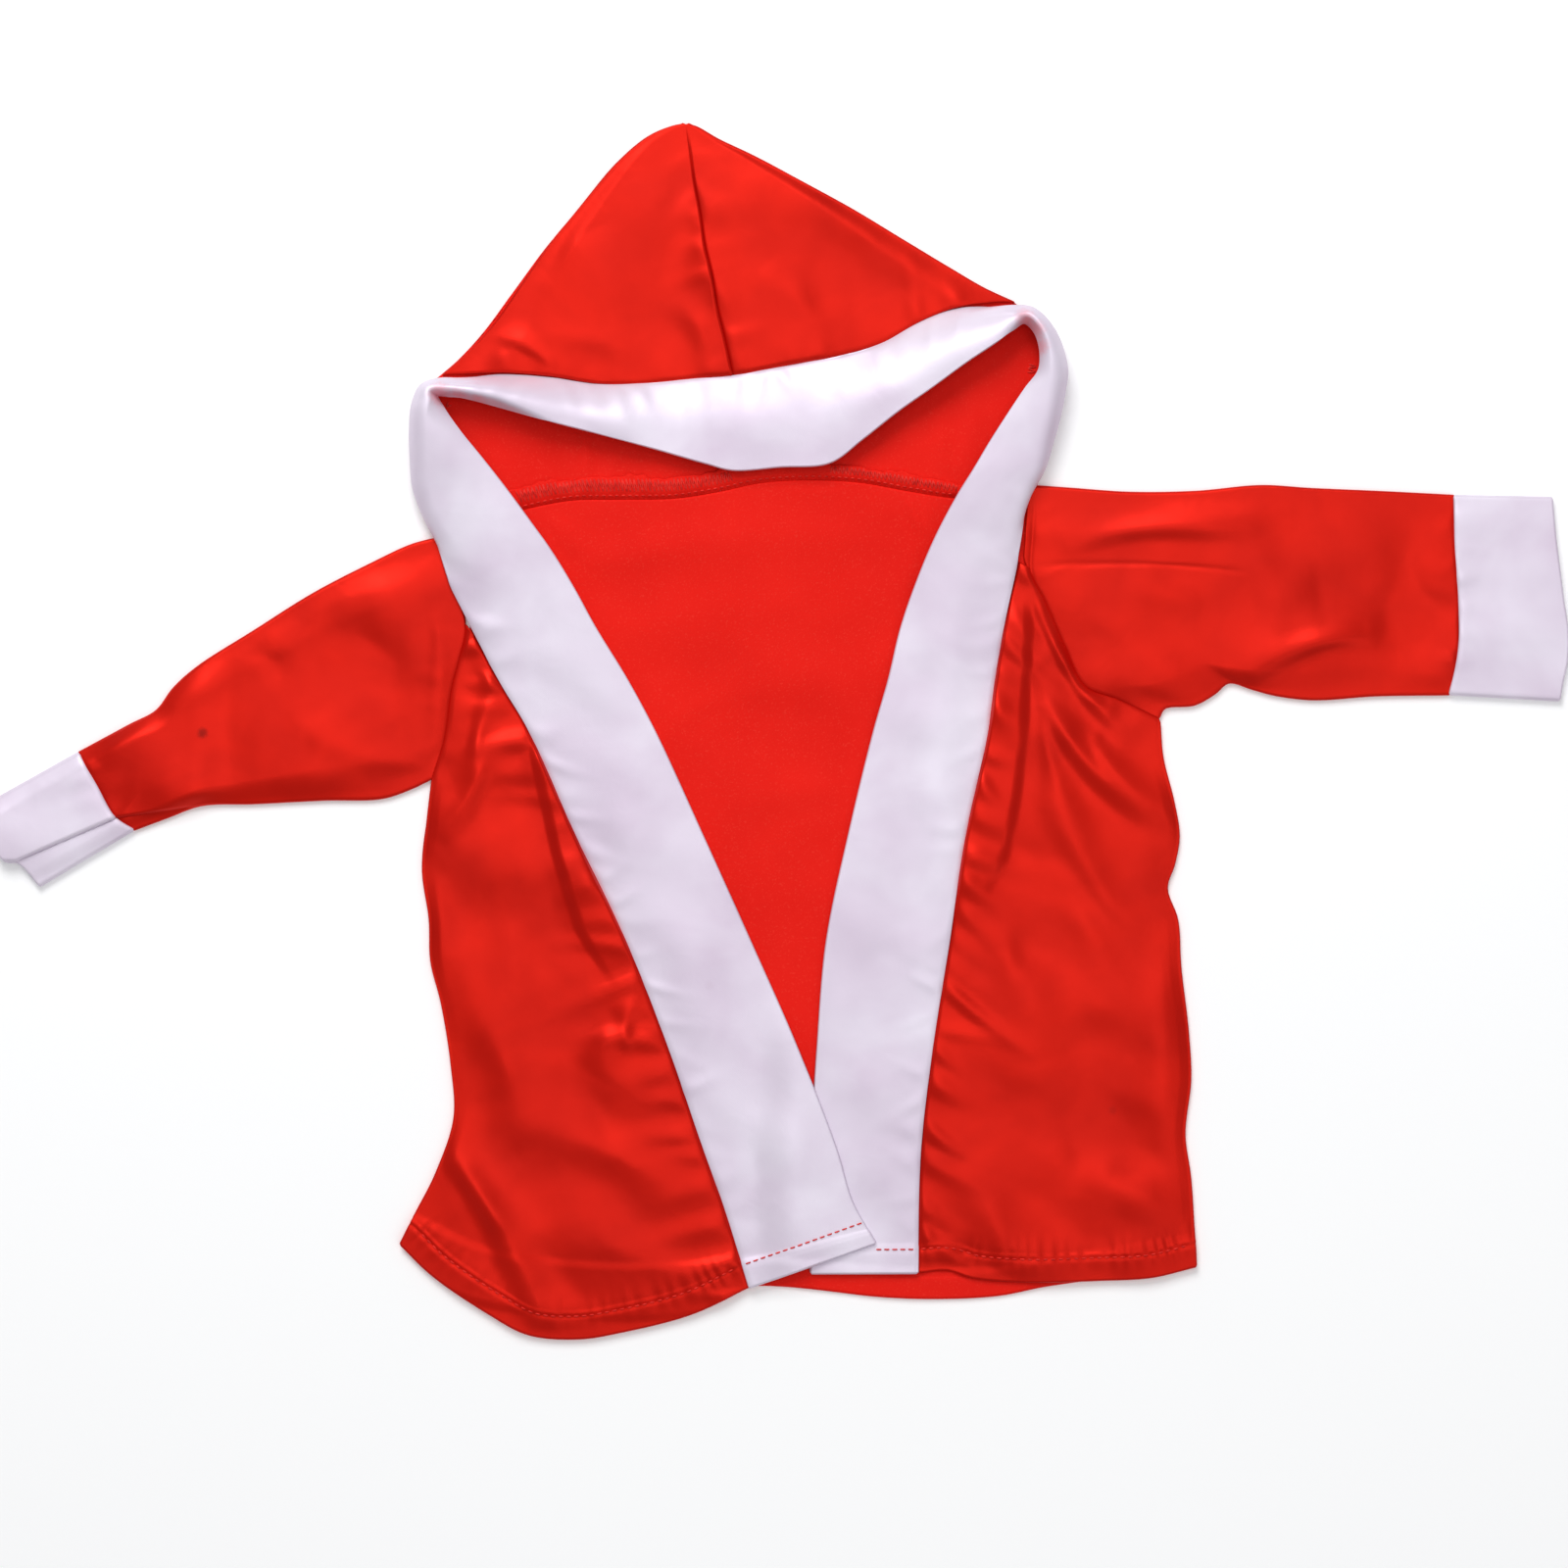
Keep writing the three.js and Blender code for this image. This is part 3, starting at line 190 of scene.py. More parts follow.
CUFF_RIGHT_SEAM = [(261.8, 90.6), (262.1, 70), (263.6, 47), (263.4, 32), (259.9, 13.7)]
CUFF_RIGHT_END = [
    (298.9, 89.8), (300.4, 71.8), (303.2, 50), (304.9, 37), (304.5, 26), (303, 19), (301.8, 11.4),
]
SLEEVE = {  # upper and lower edge of sleeve and cuff, the seam between them, and the cuff's end
    -1: (SLEEVE_LEFT_TOP, SLEEVE_LEFT_LOW, CUFF_LEFT_SEAM, CUFF_LEFT_END),
    1: (SLEEVE_RIGHT_TOP, SLEEVE_RIGHT_LOW, CUFF_RIGHT_SEAM, CUFF_RIGHT_END),
}

# ---- Outer edges of the folds that stand beside the band on the fronts: x, y ----
BESIDE_BAND = {
    -1: [(-59.4, -97), (-72.3, -76), (-81.4, -46), (-87.2, -20), (-92.4, 6)],
    1: [(82, -64), (90.4, -46), (94.6, -24), (96.8, -3), (98.4, 26), (99.4, 56)],
}

# ---- Creases: from x and y, to x and y, bow, width, rise, lean ----
# Soft ridges, or troughs where rise is below 0. lean makes the side to the left of the run
# longer and the other one steeper.
CREASES_LEFT = [
    (-105, 14, -113, -16, -2, 4.4, 1.4, 0.2), (-110, -12, -130, -40, 3, 8, 2.2, -0.2),
    (-106, 0, -118, -30, 2, 5, 0.9, 0.2), (-110, 24, -108, 12, 2, 4, 0.9, 0),
    (-122, -160, -86, -222, 2, 8, 3.6, 0.4), (-50, -97, -55, -120, -2, 4, 1.2, -0.2),
    (-54, -112, -66, -132, -3, 9, 2.4, 0.2), (-98, -150, -26, -184, 6, 14, 2.2, 0),
    (-104, -60, -98, -118, 3, 14, 1.2, 0), (-118, -100, -96, -146, 4, 11, 1.3, 0.2),
    (-68, -192, -26, -208, -2, 9, 1, 0), (-108, -190, -72, -216, 3, 7, -0.9, 0),
    (-80, -126, -58, -162, 4, 12, -1, 0), (-127, -60, -127, -96, 1, 6, 1.2, 0),
]
CREASES_RIGHT = [
    (103, 52, 133, 2, -4, 4.2, 2.2, 0.2), (103, 22, 155, -36, -9, 7, 2.4, 0.3),
    (124, -4, 154, -31, -3, 5, 1.8, 0.2), (102, -4, 142, -79, -5, 10, 1.9, 0.3),
    (104, 8, 120, -40, -3, 5, 1, 0), (86, -84, 102, -126, 7, 14, 2.6, 0),
    (149, -86, 146, -176, 4, 11, 1.7, 0), (110, -46, 148, -118, -3, 12, 1.1, 0),
    (120, -124, 114, -178, 4, 13, -1.4, 0), (130, -172, 158, -188, 2, 10, 1.8, 0),
    (70, -166, 90, -198, 3, 11, 1.3, 0), (82, -60, 92, -92, 3, 8, 1, 0),
]
CREASES_SLEEVE_LEFT = [
    (-240, -22, -152, -18, -3, 15, 2.2, 0), (-254, -14, -208, 30, 6, 10, 1.4, 0.2),
    (-176, 0, -132, -13, -3, 7, 1.1, 0.2), (-127, 42, -127, -4, 2, 5, 0.9, 0.3),
    (-198, 32, -184, 20, 1, 6, -0.8, 0), (-196, 34, -144, 56, 3, 13, 1, 0),
    (-160, 42, -140, 6, 3, 10, -1, 0),
]
CREASES_SLEEVE_RIGHT = [
    (102, 63, 180, 61, 2, 1.3, -0.5, 0), (116, 72, 182, 78, 3, 6.5, 1.7, 0.4),
    (177, 19, 228, 37, 4, 7, 2.6, 0.4), (184, 48, 210, 52, 2, 17, 1.8, 0),
    (118, 44, 160, 15, 4, 11, 1.6, 0), (242, 76, 240, 28, 3, 13, -1.6, 0),
    (150, 88, 206, 86, -2, 9, 0.8, 0), (134, 54, 166, 46, 3, 10, 0.9, 0),
]
CREASES_HOOD = [
    (-107, 152, -84, 141, 2, 3, 1, 0.3), (-26, 196, -15, 160, -3, 8, 1.3, 0),
    (4, 206, 72, 172, 3, 13, 1.1, 0), (-76, 188, -58, 148, 5, 16, 1.1, 0),
    (-92, 150, -44, 142, 3, 8, 0.7, 0), (-4, 176, 22, 150, 3, 11, 1, 0),
    (-52, 216, -44, 180, 3, 12, 0.9, 0), (24, 186, 64, 166, -3, 9, -0.7, 0),
    (-36, 166, -22, 142, 2, 8, 0.9, 0.2),
]
CREASES_BACK = [
    (-64, 64, 48, 72, 6, 11, 1.1, 0), (-70, 32, 40, 44, 8, 13, 1, 0),
    (-40, 4, 40, 18, 6, 12, 0.9, 0), (-24, -34, 34, -22, 4, 10, 0.7, 0),
    (-84, 82, -78, 66, 1, 2, 1.3, 0.3), (-80, 82, -74, 68, 1, 1.8, 1, 0),
    (54, 88, 61, 72, -1, 2, 1.2, 0.3), (60, 88, 65, 74, -1, 1.8, 0.9, 0),
]
CREASES_HOOD_INSIDE = [
    (-72, 116, -71, 92, 1, 2.4, 0.9, 0.3), (-60, 112, -62, 94, 1, 3.6, 0.5, 0),
    (64, 122, 65, 96, 1, 2.4, 0.9, 0.3), (78, 128, 74, 98, 1, 3.6, 0.6, 0),
]


# ---- Shape functions ----
def lerp(a, b, t):
    return a + (b - a) * t


def smooth(t):
    u = np.clip(t, 0, 1)
    return u * u * (3 - 2 * u)


def bell(offset, width):
    """1 in the middle, and soon 0 on both sides."""
    return np.exp(-((offset / width) ** 2))


def curve_through(points):
    """A centripetal spline through points. It gives places for shares counted in rows."""
    p = np.asarray(points, float)
    padded = np.vstack([2 * p[0] - p[1], p, 2 * p[-1] - p[-2]])

    def at(t):
        place = np.clip(np.asarray(t, float), 0, 1) * (len(p) - 1)
        i = np.minimum(place.astype(int), len(p) - 2)
        w = (place - i)[..., None]
        q = [padded[i + k] for k in range(4)]
        squares = [np.sum((q[k + 1] - q[k]) ** 2, -1, keepdims=True) for k in range(3)]
        d = [np.maximum(square ** 0.25, 1e-4) for square in squares]
        m1 = ((q[1] - q[0]) / d[0] - (q[2] - q[0]) / (d[0] + d[1]) + (q[2] - q[1]) / d[1]) * d[1]
        m2 = ((q[2] - q[1]) / d[1] - (q[3] - q[1]) / (d[1] + d[2]) + (q[3] - q[2]) / d[2]) * d[1]
        second = -3 * q[1] + 3 * q[2] - 2 * m1 - m2
        third = 2 * q[1] - 2 * q[2] + m1 + m2
        return q[1] + w * (m1 + w * (second + w * third))

    return at


class Path:
    """A line in plan that is walked by its length."""

    def __init__(self, points):
        self.points = np.asarray(points, float)
        steps = np.diff(self.points, axis=0)
        self.reach = np.concatenate([[0], np.cumsum(np.hypot(steps[:, 0], steps[:, 1]))])
        self.length = self.reach[-1]

    def __call__(self, share):
        at = np.clip(share, 0, 1) * self.length
        return np.stack([np.interp(at, self.reach, self.points[:, k]) for k in (0, 1)], -1)

    def part(self, start, end, count=400):
        return Path(self(np.linspace(start, end, count)))

    def moved(self, distance):
        """The line moved to the left of its run by a distance."""
        run = np.gradient(self.points, axis=0)
        run /= np.maximum(np.hypot(run[:, 0], run[:, 1]), 1e-9)[:, None]
        left = np.stack([-run[:, 1], run[:, 0]], -1)
        return Path(self.points + np.asarray(distance)[..., None] * left)

    def near(self, x, y):
        """For each place, the length along the line that is nearest, and how far off it is."""
        flat_x, flat_y = np.ravel(x), np.ravel(y)
        rough = self(np.linspace(0, 1, 260))
        along, away = np.empty(flat_x.size), np.empty(flat_x.size)
        for first in range(0, flat_x.size, 20000):
            cut = slice(first, first + 20000)
            dx = flat_x[cut, None] - rough[None, :, 0]
            dy = flat_y[cut, None] - rough[None, :, 1]
            nearest = np.argmin(dx * dx + dy * dy, axis=1)
            best = np.full(nearest.size, np.inf)
            best_at = np.zeros(nearest.size)
            for k in (np.maximum(nearest - 1, 0), np.minimum(nearest, len(rough) - 2)):
                a, b = rough[k], rough[k + 1]
                run = b - a
                length = np.maximum(np.sum(run * run, -1), 1e-12)
                from_x, from_y = flat_x[cut] - a[:, 0], flat_y[cut] - a[:, 1]
                t = np.clip((from_x * run[:, 0] + from_y * run[:, 1]) / length, 0, 1)
                off = np.hypot(from_x - t * run[:, 0], from_y - t * run[:, 1])
                nearer = off < best
                best = np.where(nearer, off, best)
                best_at = np.where(nearer, (k + t) / (len(rough) - 1) * self.length, best_at)
            along[cut], away[cut] = best_at, best
        return along.reshape(np.shape(x)), away.reshape(np.shape(x))

    def away(self, x, y):
        return self.near(x, y)[1]


def edge(*tables):
    """A smooth line along several tables in turn."""
    runs = [curve_through(rows)(np.linspace(0, 1, 300)) for rows in tables]
    return Path(np.vstack([runs[0]] + [run[1:] for run in runs[1:]]))


FIRST, LAST = np.array(0.0), np.array(1.0)  # the two ends of a line


def patch(first, second, start, end, a, v):
    """Places in plan between four lines: a goes from first to second, v from start to end."""
    a, v = a[..., None], v[..., None]
    across = lerp(first(v[..., 0]), second(v[..., 0]), a)
    down = lerp(start(a[..., 0]), end(a[..., 0]), v)
    corners = lerp(lerp(first(FIRST), second(FIRST), a), lerp(first(LAST), second(LAST), a), v)
    return across + down - corners


def creases(table, x, y):
    """The height of a table of creases."""
    height = np.zeros(np.shape(x))
    for x0, y0, x1, y1, bow, width, rise, lean in table:
        dx, dy = x1 - x0, y1 - y0
        length = math.hypot(dx, dy)
        along = ((x - x0) * dx + (y - y0) * dy) / (length * length)
        inside = np.clip(along, 0, 1)
        side = ((y - y0) * dx - (x - x0) * dy) / length - bow * 4 * inside * (1 - inside)
        past = (along - inside) * length
        reach = width * (1 + lean * np.tanh(side / width)) * (0.85 + 0.25 * np.sin(5 * inside + x0))
        distance = np.hypot(side, past) / reach
        taper = 0.35 + 0.65 * np.sin(math.pi * inside)
        height += rise * taper * np.exp(-distance ** 1.8)
    return height


def drift(x, y, seed, wavelength, heading=0.0, spread=math.pi):
    """Soft uneven undulation with a mean square of 1. heading is the way across its ridges."""
    draw = np.random.default_rng(seed)
    count = 8
    bent_x = x + 0.18 * wavelength * np.sin(y / (0.9 * wavelength) + seed)
    bent_y = y + 0.18 * wavelength * np.sin(x / (1.1 * wavelength) + 2 * seed)
    total = np.zeros(np.shape(x))
    for _ in range(count):
        angle = heading + draw.uniform(-spread, spread)
        pitch = 2 * math.pi / (wavelength * draw.uniform(0.7, 1.5))
        across = bent_x * math.cos(angle) + bent_y * math.sin(angle)
        total += np.sin(pitch * across + draw.uniform(0, 6.28))
    return total / math.sqrt(count / 2)


def puckers(seam, x, y, seed, spacing, reach, height, slant=0.0):
    """Short bulges that stand across a seam, gathered by its stitches."""
    along, away = seam.near(x, y)
    draw = np.random.default_rng(seed)
    total = np.zeros(np.shape(x))
    place = -0.5 * spacing
    while place < seam.length + spacing:
        place += spacing * draw.uniform(0.55, 1.5)
        width = spacing * draw.uniform(0.2, 0.42)
        deep = reach * draw.uniform(0.5, 1.3)
        lean = slant + draw.uniform(-0.35, 0.35)
        tall = height * draw.uniform(0.25, 1.2)
        off = (along - place - lean * away) / width
        total += tall * np.exp(-off * off) * (away / deep) * np.exp(1 - away / deep)
    return total


def crowded(count):
    """Places from 0 to 1 that lie closer together at both ends, where the seams are."""
    t = np.linspace(0, 1, count)
    return t - 0.6 * np.sin(2 * math.pi * t) / (2 * math.pi)


def strip_fold(k, x, y, height):
    """A fold beside the band: a low shelf that ends in a crisp outer edge."""
    places = np.array(BESIDE_BAND[k], float)
    side = k * (np.interp(y, places[:, 1], places[:, 0]) - x)
    ends = smooth((y - places[0, 1]) / 26 + 0.1) * smooth((places[-1, 1] - y) / 22)
    return height * ends * (smooth(side / 5 + 0.5) - 0.2 * bell(side + 6, 6))


def groove(*distances):
    """The narrow dip that a seam's stitches pull into the cloth."""
    return -0.4 * bell(np.minimum.reduce(distances), 0.6)


def above(height, softness=0.3):
    """Keeps a height from falling below 0, with a soft turn."""
    return 0.5 * (height + np.sqrt(height * height + softness * softness)) - 0.5 * softness


def second_layer(away):
    """The height of a turned hem's second layer, by the distance from the hem."""
    return HEM_EXTRA * (1 - smooth((away - HEM_DEPTH + 0.6) / 1.4))


def hem_layer(hem, x, y):
    """The second layer, its stitch line's groove and the ripples between its stitches."""
    along, away = hem.near(x, y)
    sunk = -0.45 * bell(away - HEM_STITCH, 0.9)
    pulled = 0.5 + 0.5 * np.sin(along / 0.9 + 1.8 * np.sin(along / 7.3) + 1.1 * np.sin(along / 3.1))
    ripple = 0.42 * pulled * bell(away - HEM_DEPTH, 5.5)
    return second_layer(away) + sunk + ripple


def lap_step(x, y):
    """How far the left front is raised where it laps over the right band."""
    return LAP_STEP * smooth((x + 6) / 18) * smooth((-y - 96) / 24)


# ---- Lines that the pieces share ----
def strip_edge(rows, first=0):
    return curve_through([row[first:first + 2] for row in rows])


shares = np.linspace(0, 1, 500)
armhole = {-1: edge(ARMHOLE_LEFT), 1: edge(ARMHOLE_RIGHT)}
neck = {-1: edge(NECK_LEFT), 1: edge(NECK_RIGHT)}
back_hem = edge(HEM_BACK)
hood_seam = Path(strip_edge(BAND_HOOD)(shares))
free_edge = {k: Path(strip_edge(STRIP[k], 2)(shares)) for k in STRIP}


def back_hem_step(x, y):
    """How far a piece is raised where it lies on the back's hem."""
    return HEM_EXTRA * (1 - smooth((back_hem.away(x, y) - HEM_DEPTH + 2) / 4))


# ---- Meshes ----
def on_root(name, points, faces):
    """A smooth mesh of points in mm, on the one body."""
    mesh = bpy.data.meshes.new(name)
    mesh.from_pydata(points * MM, [], faces)
    mesh.polygons.foreach_set("use_smooth", np.ones(len(faces), bool))
    mesh.update()
    piece = bpy.data.objects.new(name, mesh)
    scene.collection.objects.link(piece)
    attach(piece, "root")
    return piece


def unit(vectors):
    return vectors / np.maximum(np.linalg.norm(vectors, axis=-1, keepdims=True), 1e-12)


def cloth(name, grid, thick, ring=False):
    """A closed thin shell on a grid of mid points, in mm, with rounded rims. Its outer face has
    the first material and its inner face the second. The UV map runs along the threads, in m."""
    rows, cols = grid.shape[:2]
    thick = np.broadcast_to(thick, (rows, cols))
    if ring:
        padded = np.concatenate([grid[:, -1:], grid, grid[:, :1]], axis=1)
        across = (padded[:, 2:] - padded[:, :-2]) / 2
    else:
        across = np.gradient(grid, axis=1)
    normal = unit(np.cross(np.gradient(grid, axis=0), across))
    facing = np.sign(np.mean(normal[:, cols // 10:cols * 3 // 10, 2]))
    normal *= facing
    outer = grid + normal * thick[..., None] / 2
    inner = grid - normal * thick[..., None] / 2
    points = [outer.reshape(-1, 3), inner.reshape(-1, 3)]
    index = np.arange(rows * cols).reshape(rows, cols)
    wrapped = np.concatenate([index, index[:, :1]], axis=1) if ring else index
    corners = [wrapped[:-1, :-1], wrapped[1:, :-1], wrapped[1:, 1:], wrapped[:-1, 1:]]
    quads = np.stack(corners, -1).reshape(-1, 4)
    faces = [quads, quads[:, ::-1] + rows * cols]
    kinds = [np.zeros(len(quads), int), np.ones(len(quads), int)]
    if ring:
        loops = [(index[0], index[1]), (index[-1][::-1], index[-2][::-1])]
    else:
        border = np.concatenate([index[0, :-1], index[:-1, -1], index[-1, :0:-1], index[:0:-1, 0]])
        inside = np.concatenate([index[1, :-1], index[:-1, -2], index[-2, :0:-1], index[:0:-1, 1]])
        loops = [(border, inside)]
    count = 2 * rows * cols
    flat_grid, flat_thick = grid.reshape(-1, 3), thick.reshape(-1)
    for border, inside in loops:
        out = unit(flat_grid[border] - flat_grid[inside])
        points.append(flat_grid[border] + out * flat_thick[border, None] * 0.4)
        rim = np.arange(count, count + len(border))
        count += len(border)
        after, rim_after = np.roll(border, -1), np.roll(rim, -1)
        faces.append(np.stack([border, after, rim_after, rim], -1))
        faces.append(np.stack([rim, rim_after, after + rows * cols, border + rows * cols], -1))
        kinds += [np.zeros(len(border), int)] * 2
    points, faces, kinds = np.vstack(points), np.vstack(faces), np.concatenate(kinds)
    if facing < 0:
        faces = faces[:, ::-1]
    along_u = np.cumsum(np.linalg.norm(np.diff(grid, axis=1, prepend=grid[:, :1]), axis=-1), axis=1)
    along_v = np.cumsum(np.linalg.norm(np.diff(grid, axis=0, prepend=grid[:1]), axis=-1), axis=0)
    uv = np.stack([along_u, along_v], -1).reshape(-1, 2) * MM
    uv = np.vstack([uv, uv] + [uv[border] for border, _ in loops])
    piece = on_root(name, points, faces.tolist())
    mesh = piece.data
    mesh.polygons.foreach_set("material_index", kinds)
    layer = mesh.uv_layers.new(name="threads")
    corner = np.empty(len(mesh.loops), int)
    mesh.loops.foreach_get("vertex_index", corner)
    layer.data.foreach_set("uv", uv[corner].ravel())
    return piece


def grid_of(plan, z):
    return np.concatenate([plan, z[..., None]], axis=-1)


def meshed(rows, cols):
    v, a = np.meshgrid(crowded(rows), crowded(cols), indexing="ij")
    return a, v


# ---- The pieces ----
def back():
    def side(k, rows, corner):
        seam = armhole[k].part(0.02, 1).moved(-k * 1.8)
        body = edge([tuple(seam.points[-1])] + rows[1:-1] + [corner])
        return Path(np.vstack([seam.points, body.points[1:]]))

    left, right = side(-1, SIDE_LEFT, HEM_BACK[0]), side(1, SIDE_RIGHT, HEM_BACK[-1])
    below = [(x, y - SEAM_GAP - FACET_GAP) for x, y in NECK_LEFT[1:] + NECK_RIGHT[1:-1]]
    top = edge([tuple(left.points[0])] + below + [tuple(right.points[0])])
    a, v = meshed(rows=190, cols=150)
    plan = patch(left, right, top, back_hem, a, v)
    x, y = plan[..., 0], plan[..., 1]

    def band_x(k):
        line = free_edge[k].points[::-1]
        return np.interp(y, line[:, 1], line[:, 0])

    inside = (x > band_x(-1)) & (x < band_x(1))
    from_bands = np.minimum(free_edge[-1].away(x, y), free_edge[1].away(x, y))
    open_part = np.where(inside, smooth(from_bands / 14), 0) * smooth((96 - y) / 5)
    wave = creases(CREASES_BACK, x, y) + 0.22 * drift(x, y, 3, 46, 1.5, 0.4)
    height = above(wave * open_part, 0.2)
    hidden = 0.16 * (1 + drift(x, y, 8, 34, 0.4, 0.9)) * (1 - open_part)
    hem = hem_layer(back_hem, x, y)
    z = UNDER + height + np.clip(hidden, 0, 0.35) + 0.4 * hem
    return cloth("back_cloth", grid_of(plan, z), CLOTH + 0.8 * np.clip(hem, 0, 1))


def front(k, name, side_rows, hem_rows, table):
    band_from, arm_from = FRONT_TOP[k]
    sewn = strip_edge(STRIP[k])(np.linspace(band_from, 1, 500))
    seam = Path(sewn + [k * (SEAM_GAP + FACET_GAP) * 0.6, 0])
    body = edge(side_rows)
    arm = armhole[k]

    def outer(t):
        on_arm = arm(lerp(arm_from, 1, np.clip(t / ARMHOLE_SHARE, 0, 1)))
        on_body = body((t - ARMHOLE_SHARE) / (1 - ARMHOLE_SHARE))
        return np.where((t < ARMHOLE_SHARE)[..., None], on_arm, on_body)

    top = Path(np.stack([outer(FIRST), seam(FIRST)]))
    corner = [tuple(seam.points[-1])]
    a, v = meshed(rows=210, cols=132)
    if k < 0:
        hem = edge(hem_rows[:-1] + corner)
        plan = patch(outer, seam, top, hem, a, v)
    else:
        hem = edge(corner + hem_rows[1:])
        plan = patch(seam, outer, Path(top.points[::-1]), hem, a, v)
    x, y = plan[..., 0], plan[..., 1]
    side_line = Path(np.vstack([arm.part(arm_from, 1).points, body.points[1:]]))
    from_side, from_arm = side_line.away(x, y), arm.away(x, y)
    from_band, from_hem = seam.away(x, y), hem.away(x, y)
    loft = LOFT * (1 - np.exp(-from_side / 12)) * smooth(from_hem / 16 + 0.15)
    fold = creases(table, x, y) * smooth(from_side / 6 + 0.2) * smooth(from_hem / 9 + 0.3)
    soft = 0.42 * drift(x, y, 11 + k, 46, 0.9, 0.7) + 0.05 * drift(x, y, 21 + k, 17)
    gathers = puckers(seam, x, y, 31 + k, 12, 6, 1.5, 0.35 * k)
    gathers += puckers(arm, x, y, 41 + k, 12, 4.5, 0.45) * smooth((from_band - 6) / 10)
    fold += strip_fold(k, x, y, 1.9)
    height = above(loft + fold + soft * smooth(from_side / 14) + gathers, 0.4)
    rim = smooth(from_side / 2.5 + 0.15) * (0.3 + 0.7 * smooth(from_band / 1.4))
    lap = lap_step(x, y) if k < 0 else 0
    hem_here = hem_layer(hem, x, y)
    z = UPPER + height * rim + groove(from_arm, from_band) + lap
    z = z + back_hem_step(x, y) + 0.5 * hem_here
    return cloth(name, grid_of(plan, z), CLOTH + 0.7 * np.clip(hem_here, 0, 1))


def flat_tube(name, top, low, start, end, thick, rows, across, below, raise_by, gap, loft=LOFT):
    """A flattened tube between two folded edges, its upper layer over its lower one. raise_by
    gives the upper layer's own height, and gap is what the tube leaves free at each end."""
    length = np.hypot(*(top(FIRST) - top(LAST)))
    v = lerp(gap[0] / length, 1 - gap[1] / length, crowded(rows))
    here = np.hypot(*np.moveaxis(top(v) - low(v), -1, 0))
    single = thick == CLOTH
    inset = (FOLD_INSET if single else DOUBLED_INSET) / here
    lower_z = thick / 2 + 0.05
    upper_z = UPPER if single else lower_z + thick + SEAM_GAP
    radius = (upper_z - lower_z) / 2
    columns = [lerp(inset, 1 - inset, s) for s in np.linspace(0, 1, across)]
    columns += [1 - inset + radius * math.sin(t) / here for t in TURNS]
    columns += [lerp(inset, 1 - inset, s) for s in np.linspace(1, 0, below)]
    columns += [inset - radius * math.sin(t) / here for t in TURNS]
    a = np.stack(columns, axis=1)
    v = np.repeat(v[:, None], a.shape[1], axis=1)
    plan = patch(top, low, start, end, a, v)
    x, y = plan[..., 0], plan[..., 1]
    z = np.empty(x.shape)
    upper = slice(0, across)
    first_turn = slice(across, across + len(TURNS))
    lower = slice(first_turn.stop, first_turn.stop + below)
    last_turn = slice(lower.stop, None)
    from_fold = np.minimum(a, 1 - a)
    puff = smooth(5.5 * from_fold)
    lift = above(loft * puff + raise_by(x, y) * puff ** 0.6, 0.3)
    z[:, upper] = upper_z + lift[:, upper]
    middle = (upper_z + lower_z) / 2
    z[:, first_turn] = middle + radius * np.cos(TURNS)
    under = 0.4 * np.clip(1 + drift(x, y, 77, 30, 1.2, 0.6), 0, 2.2) * smooth(4 * from_fold - 0.4)
    z[:, lower] = lower_z + under[:, lower] * (0.8 if single else 0.15)
    z[:, last_turn] = middle - radius * np.cos(TURNS)
    return cloth(name, grid_of(plan, z), thick, ring=True)


def overhang(x, y):
    """The step of the left sleeve's upper layer over the strip of the lower one that peeks out."""
    crease = np.interp(x, [-288, -250.1, -222], [-49.2, -32.8, -28.4])
    return 1.7 * smooth((y - crease) / 0.9 + 0.5) * smooth((-205 - x) / 16)


def sleeve(k, name, rows, table, heading):
    top, low, cuff_seam, _ = SLEEVE[k]
    cuff_line = edge(cuff_seam)
    arm = armhole[k]

    def raise_by(x, y):
        from_cuff, from_arm = cuff_line.away(x, y), arm.away(x, y)
        height = creases(table, x, y)
        height += 0.36 * drift(x, y, 51 + k, 46, heading, 0.7) + 0.04 * drift(x, y, 61 + k, 16)
        at_arm = puckers(arm, x, y, 71 + k, 12, 4.5, 0.45)
        height += at_arm + puckers(cuff_line, x, y, 81 + k, 11, 3.5, 0.5)
        low_start = 1 - 0.9 * np.exp(-from_arm / 7)
        over = overhang(x, y) if k < 0 else 0
        return height * low_start + over - LOFT * (1 - low_start) + groove(from_cuff, from_arm)

    distance = np.full(len(arm.points), k * SEAM_GAP)
    if k > 0:
        distance -= 2.9 * (1 - smooth((arm.reach / arm.length - 0.24) / 0.08))
    start = arm.moved(distance)
    return flat_tube(
        name, edge(top), edge(low), start, cuff_line, CLOTH, rows, across=120, below=44,
        raise_by=raise_by, gap=(0, 0.15),
    )


def cuff(k, name):
    top, low, seam, end = SLEEVE[k]
    line = edge(seam)

    def raise_by(x, y):
        height = 0.22 * drift(x, y, 91 + k, 34, 1.5, 0.6)
        height += puckers(line, x, y, 95 + k, 10, 3.5, 0.4)
        over = overhang(x, y) if k < 0 else 0
        return height + over + 0.8 * groove(line.away(x, y))

    upper, lower = edge([top[-1], end[0]]), edge([low[-1], end[-1]])
    return flat_tube(
        name, upper, lower, line, edge(end), DOUBLED, rows=46, across=90, below=40,
        raise_by=raise_by, gap=(0.15, 0), loft=0.9,
    )


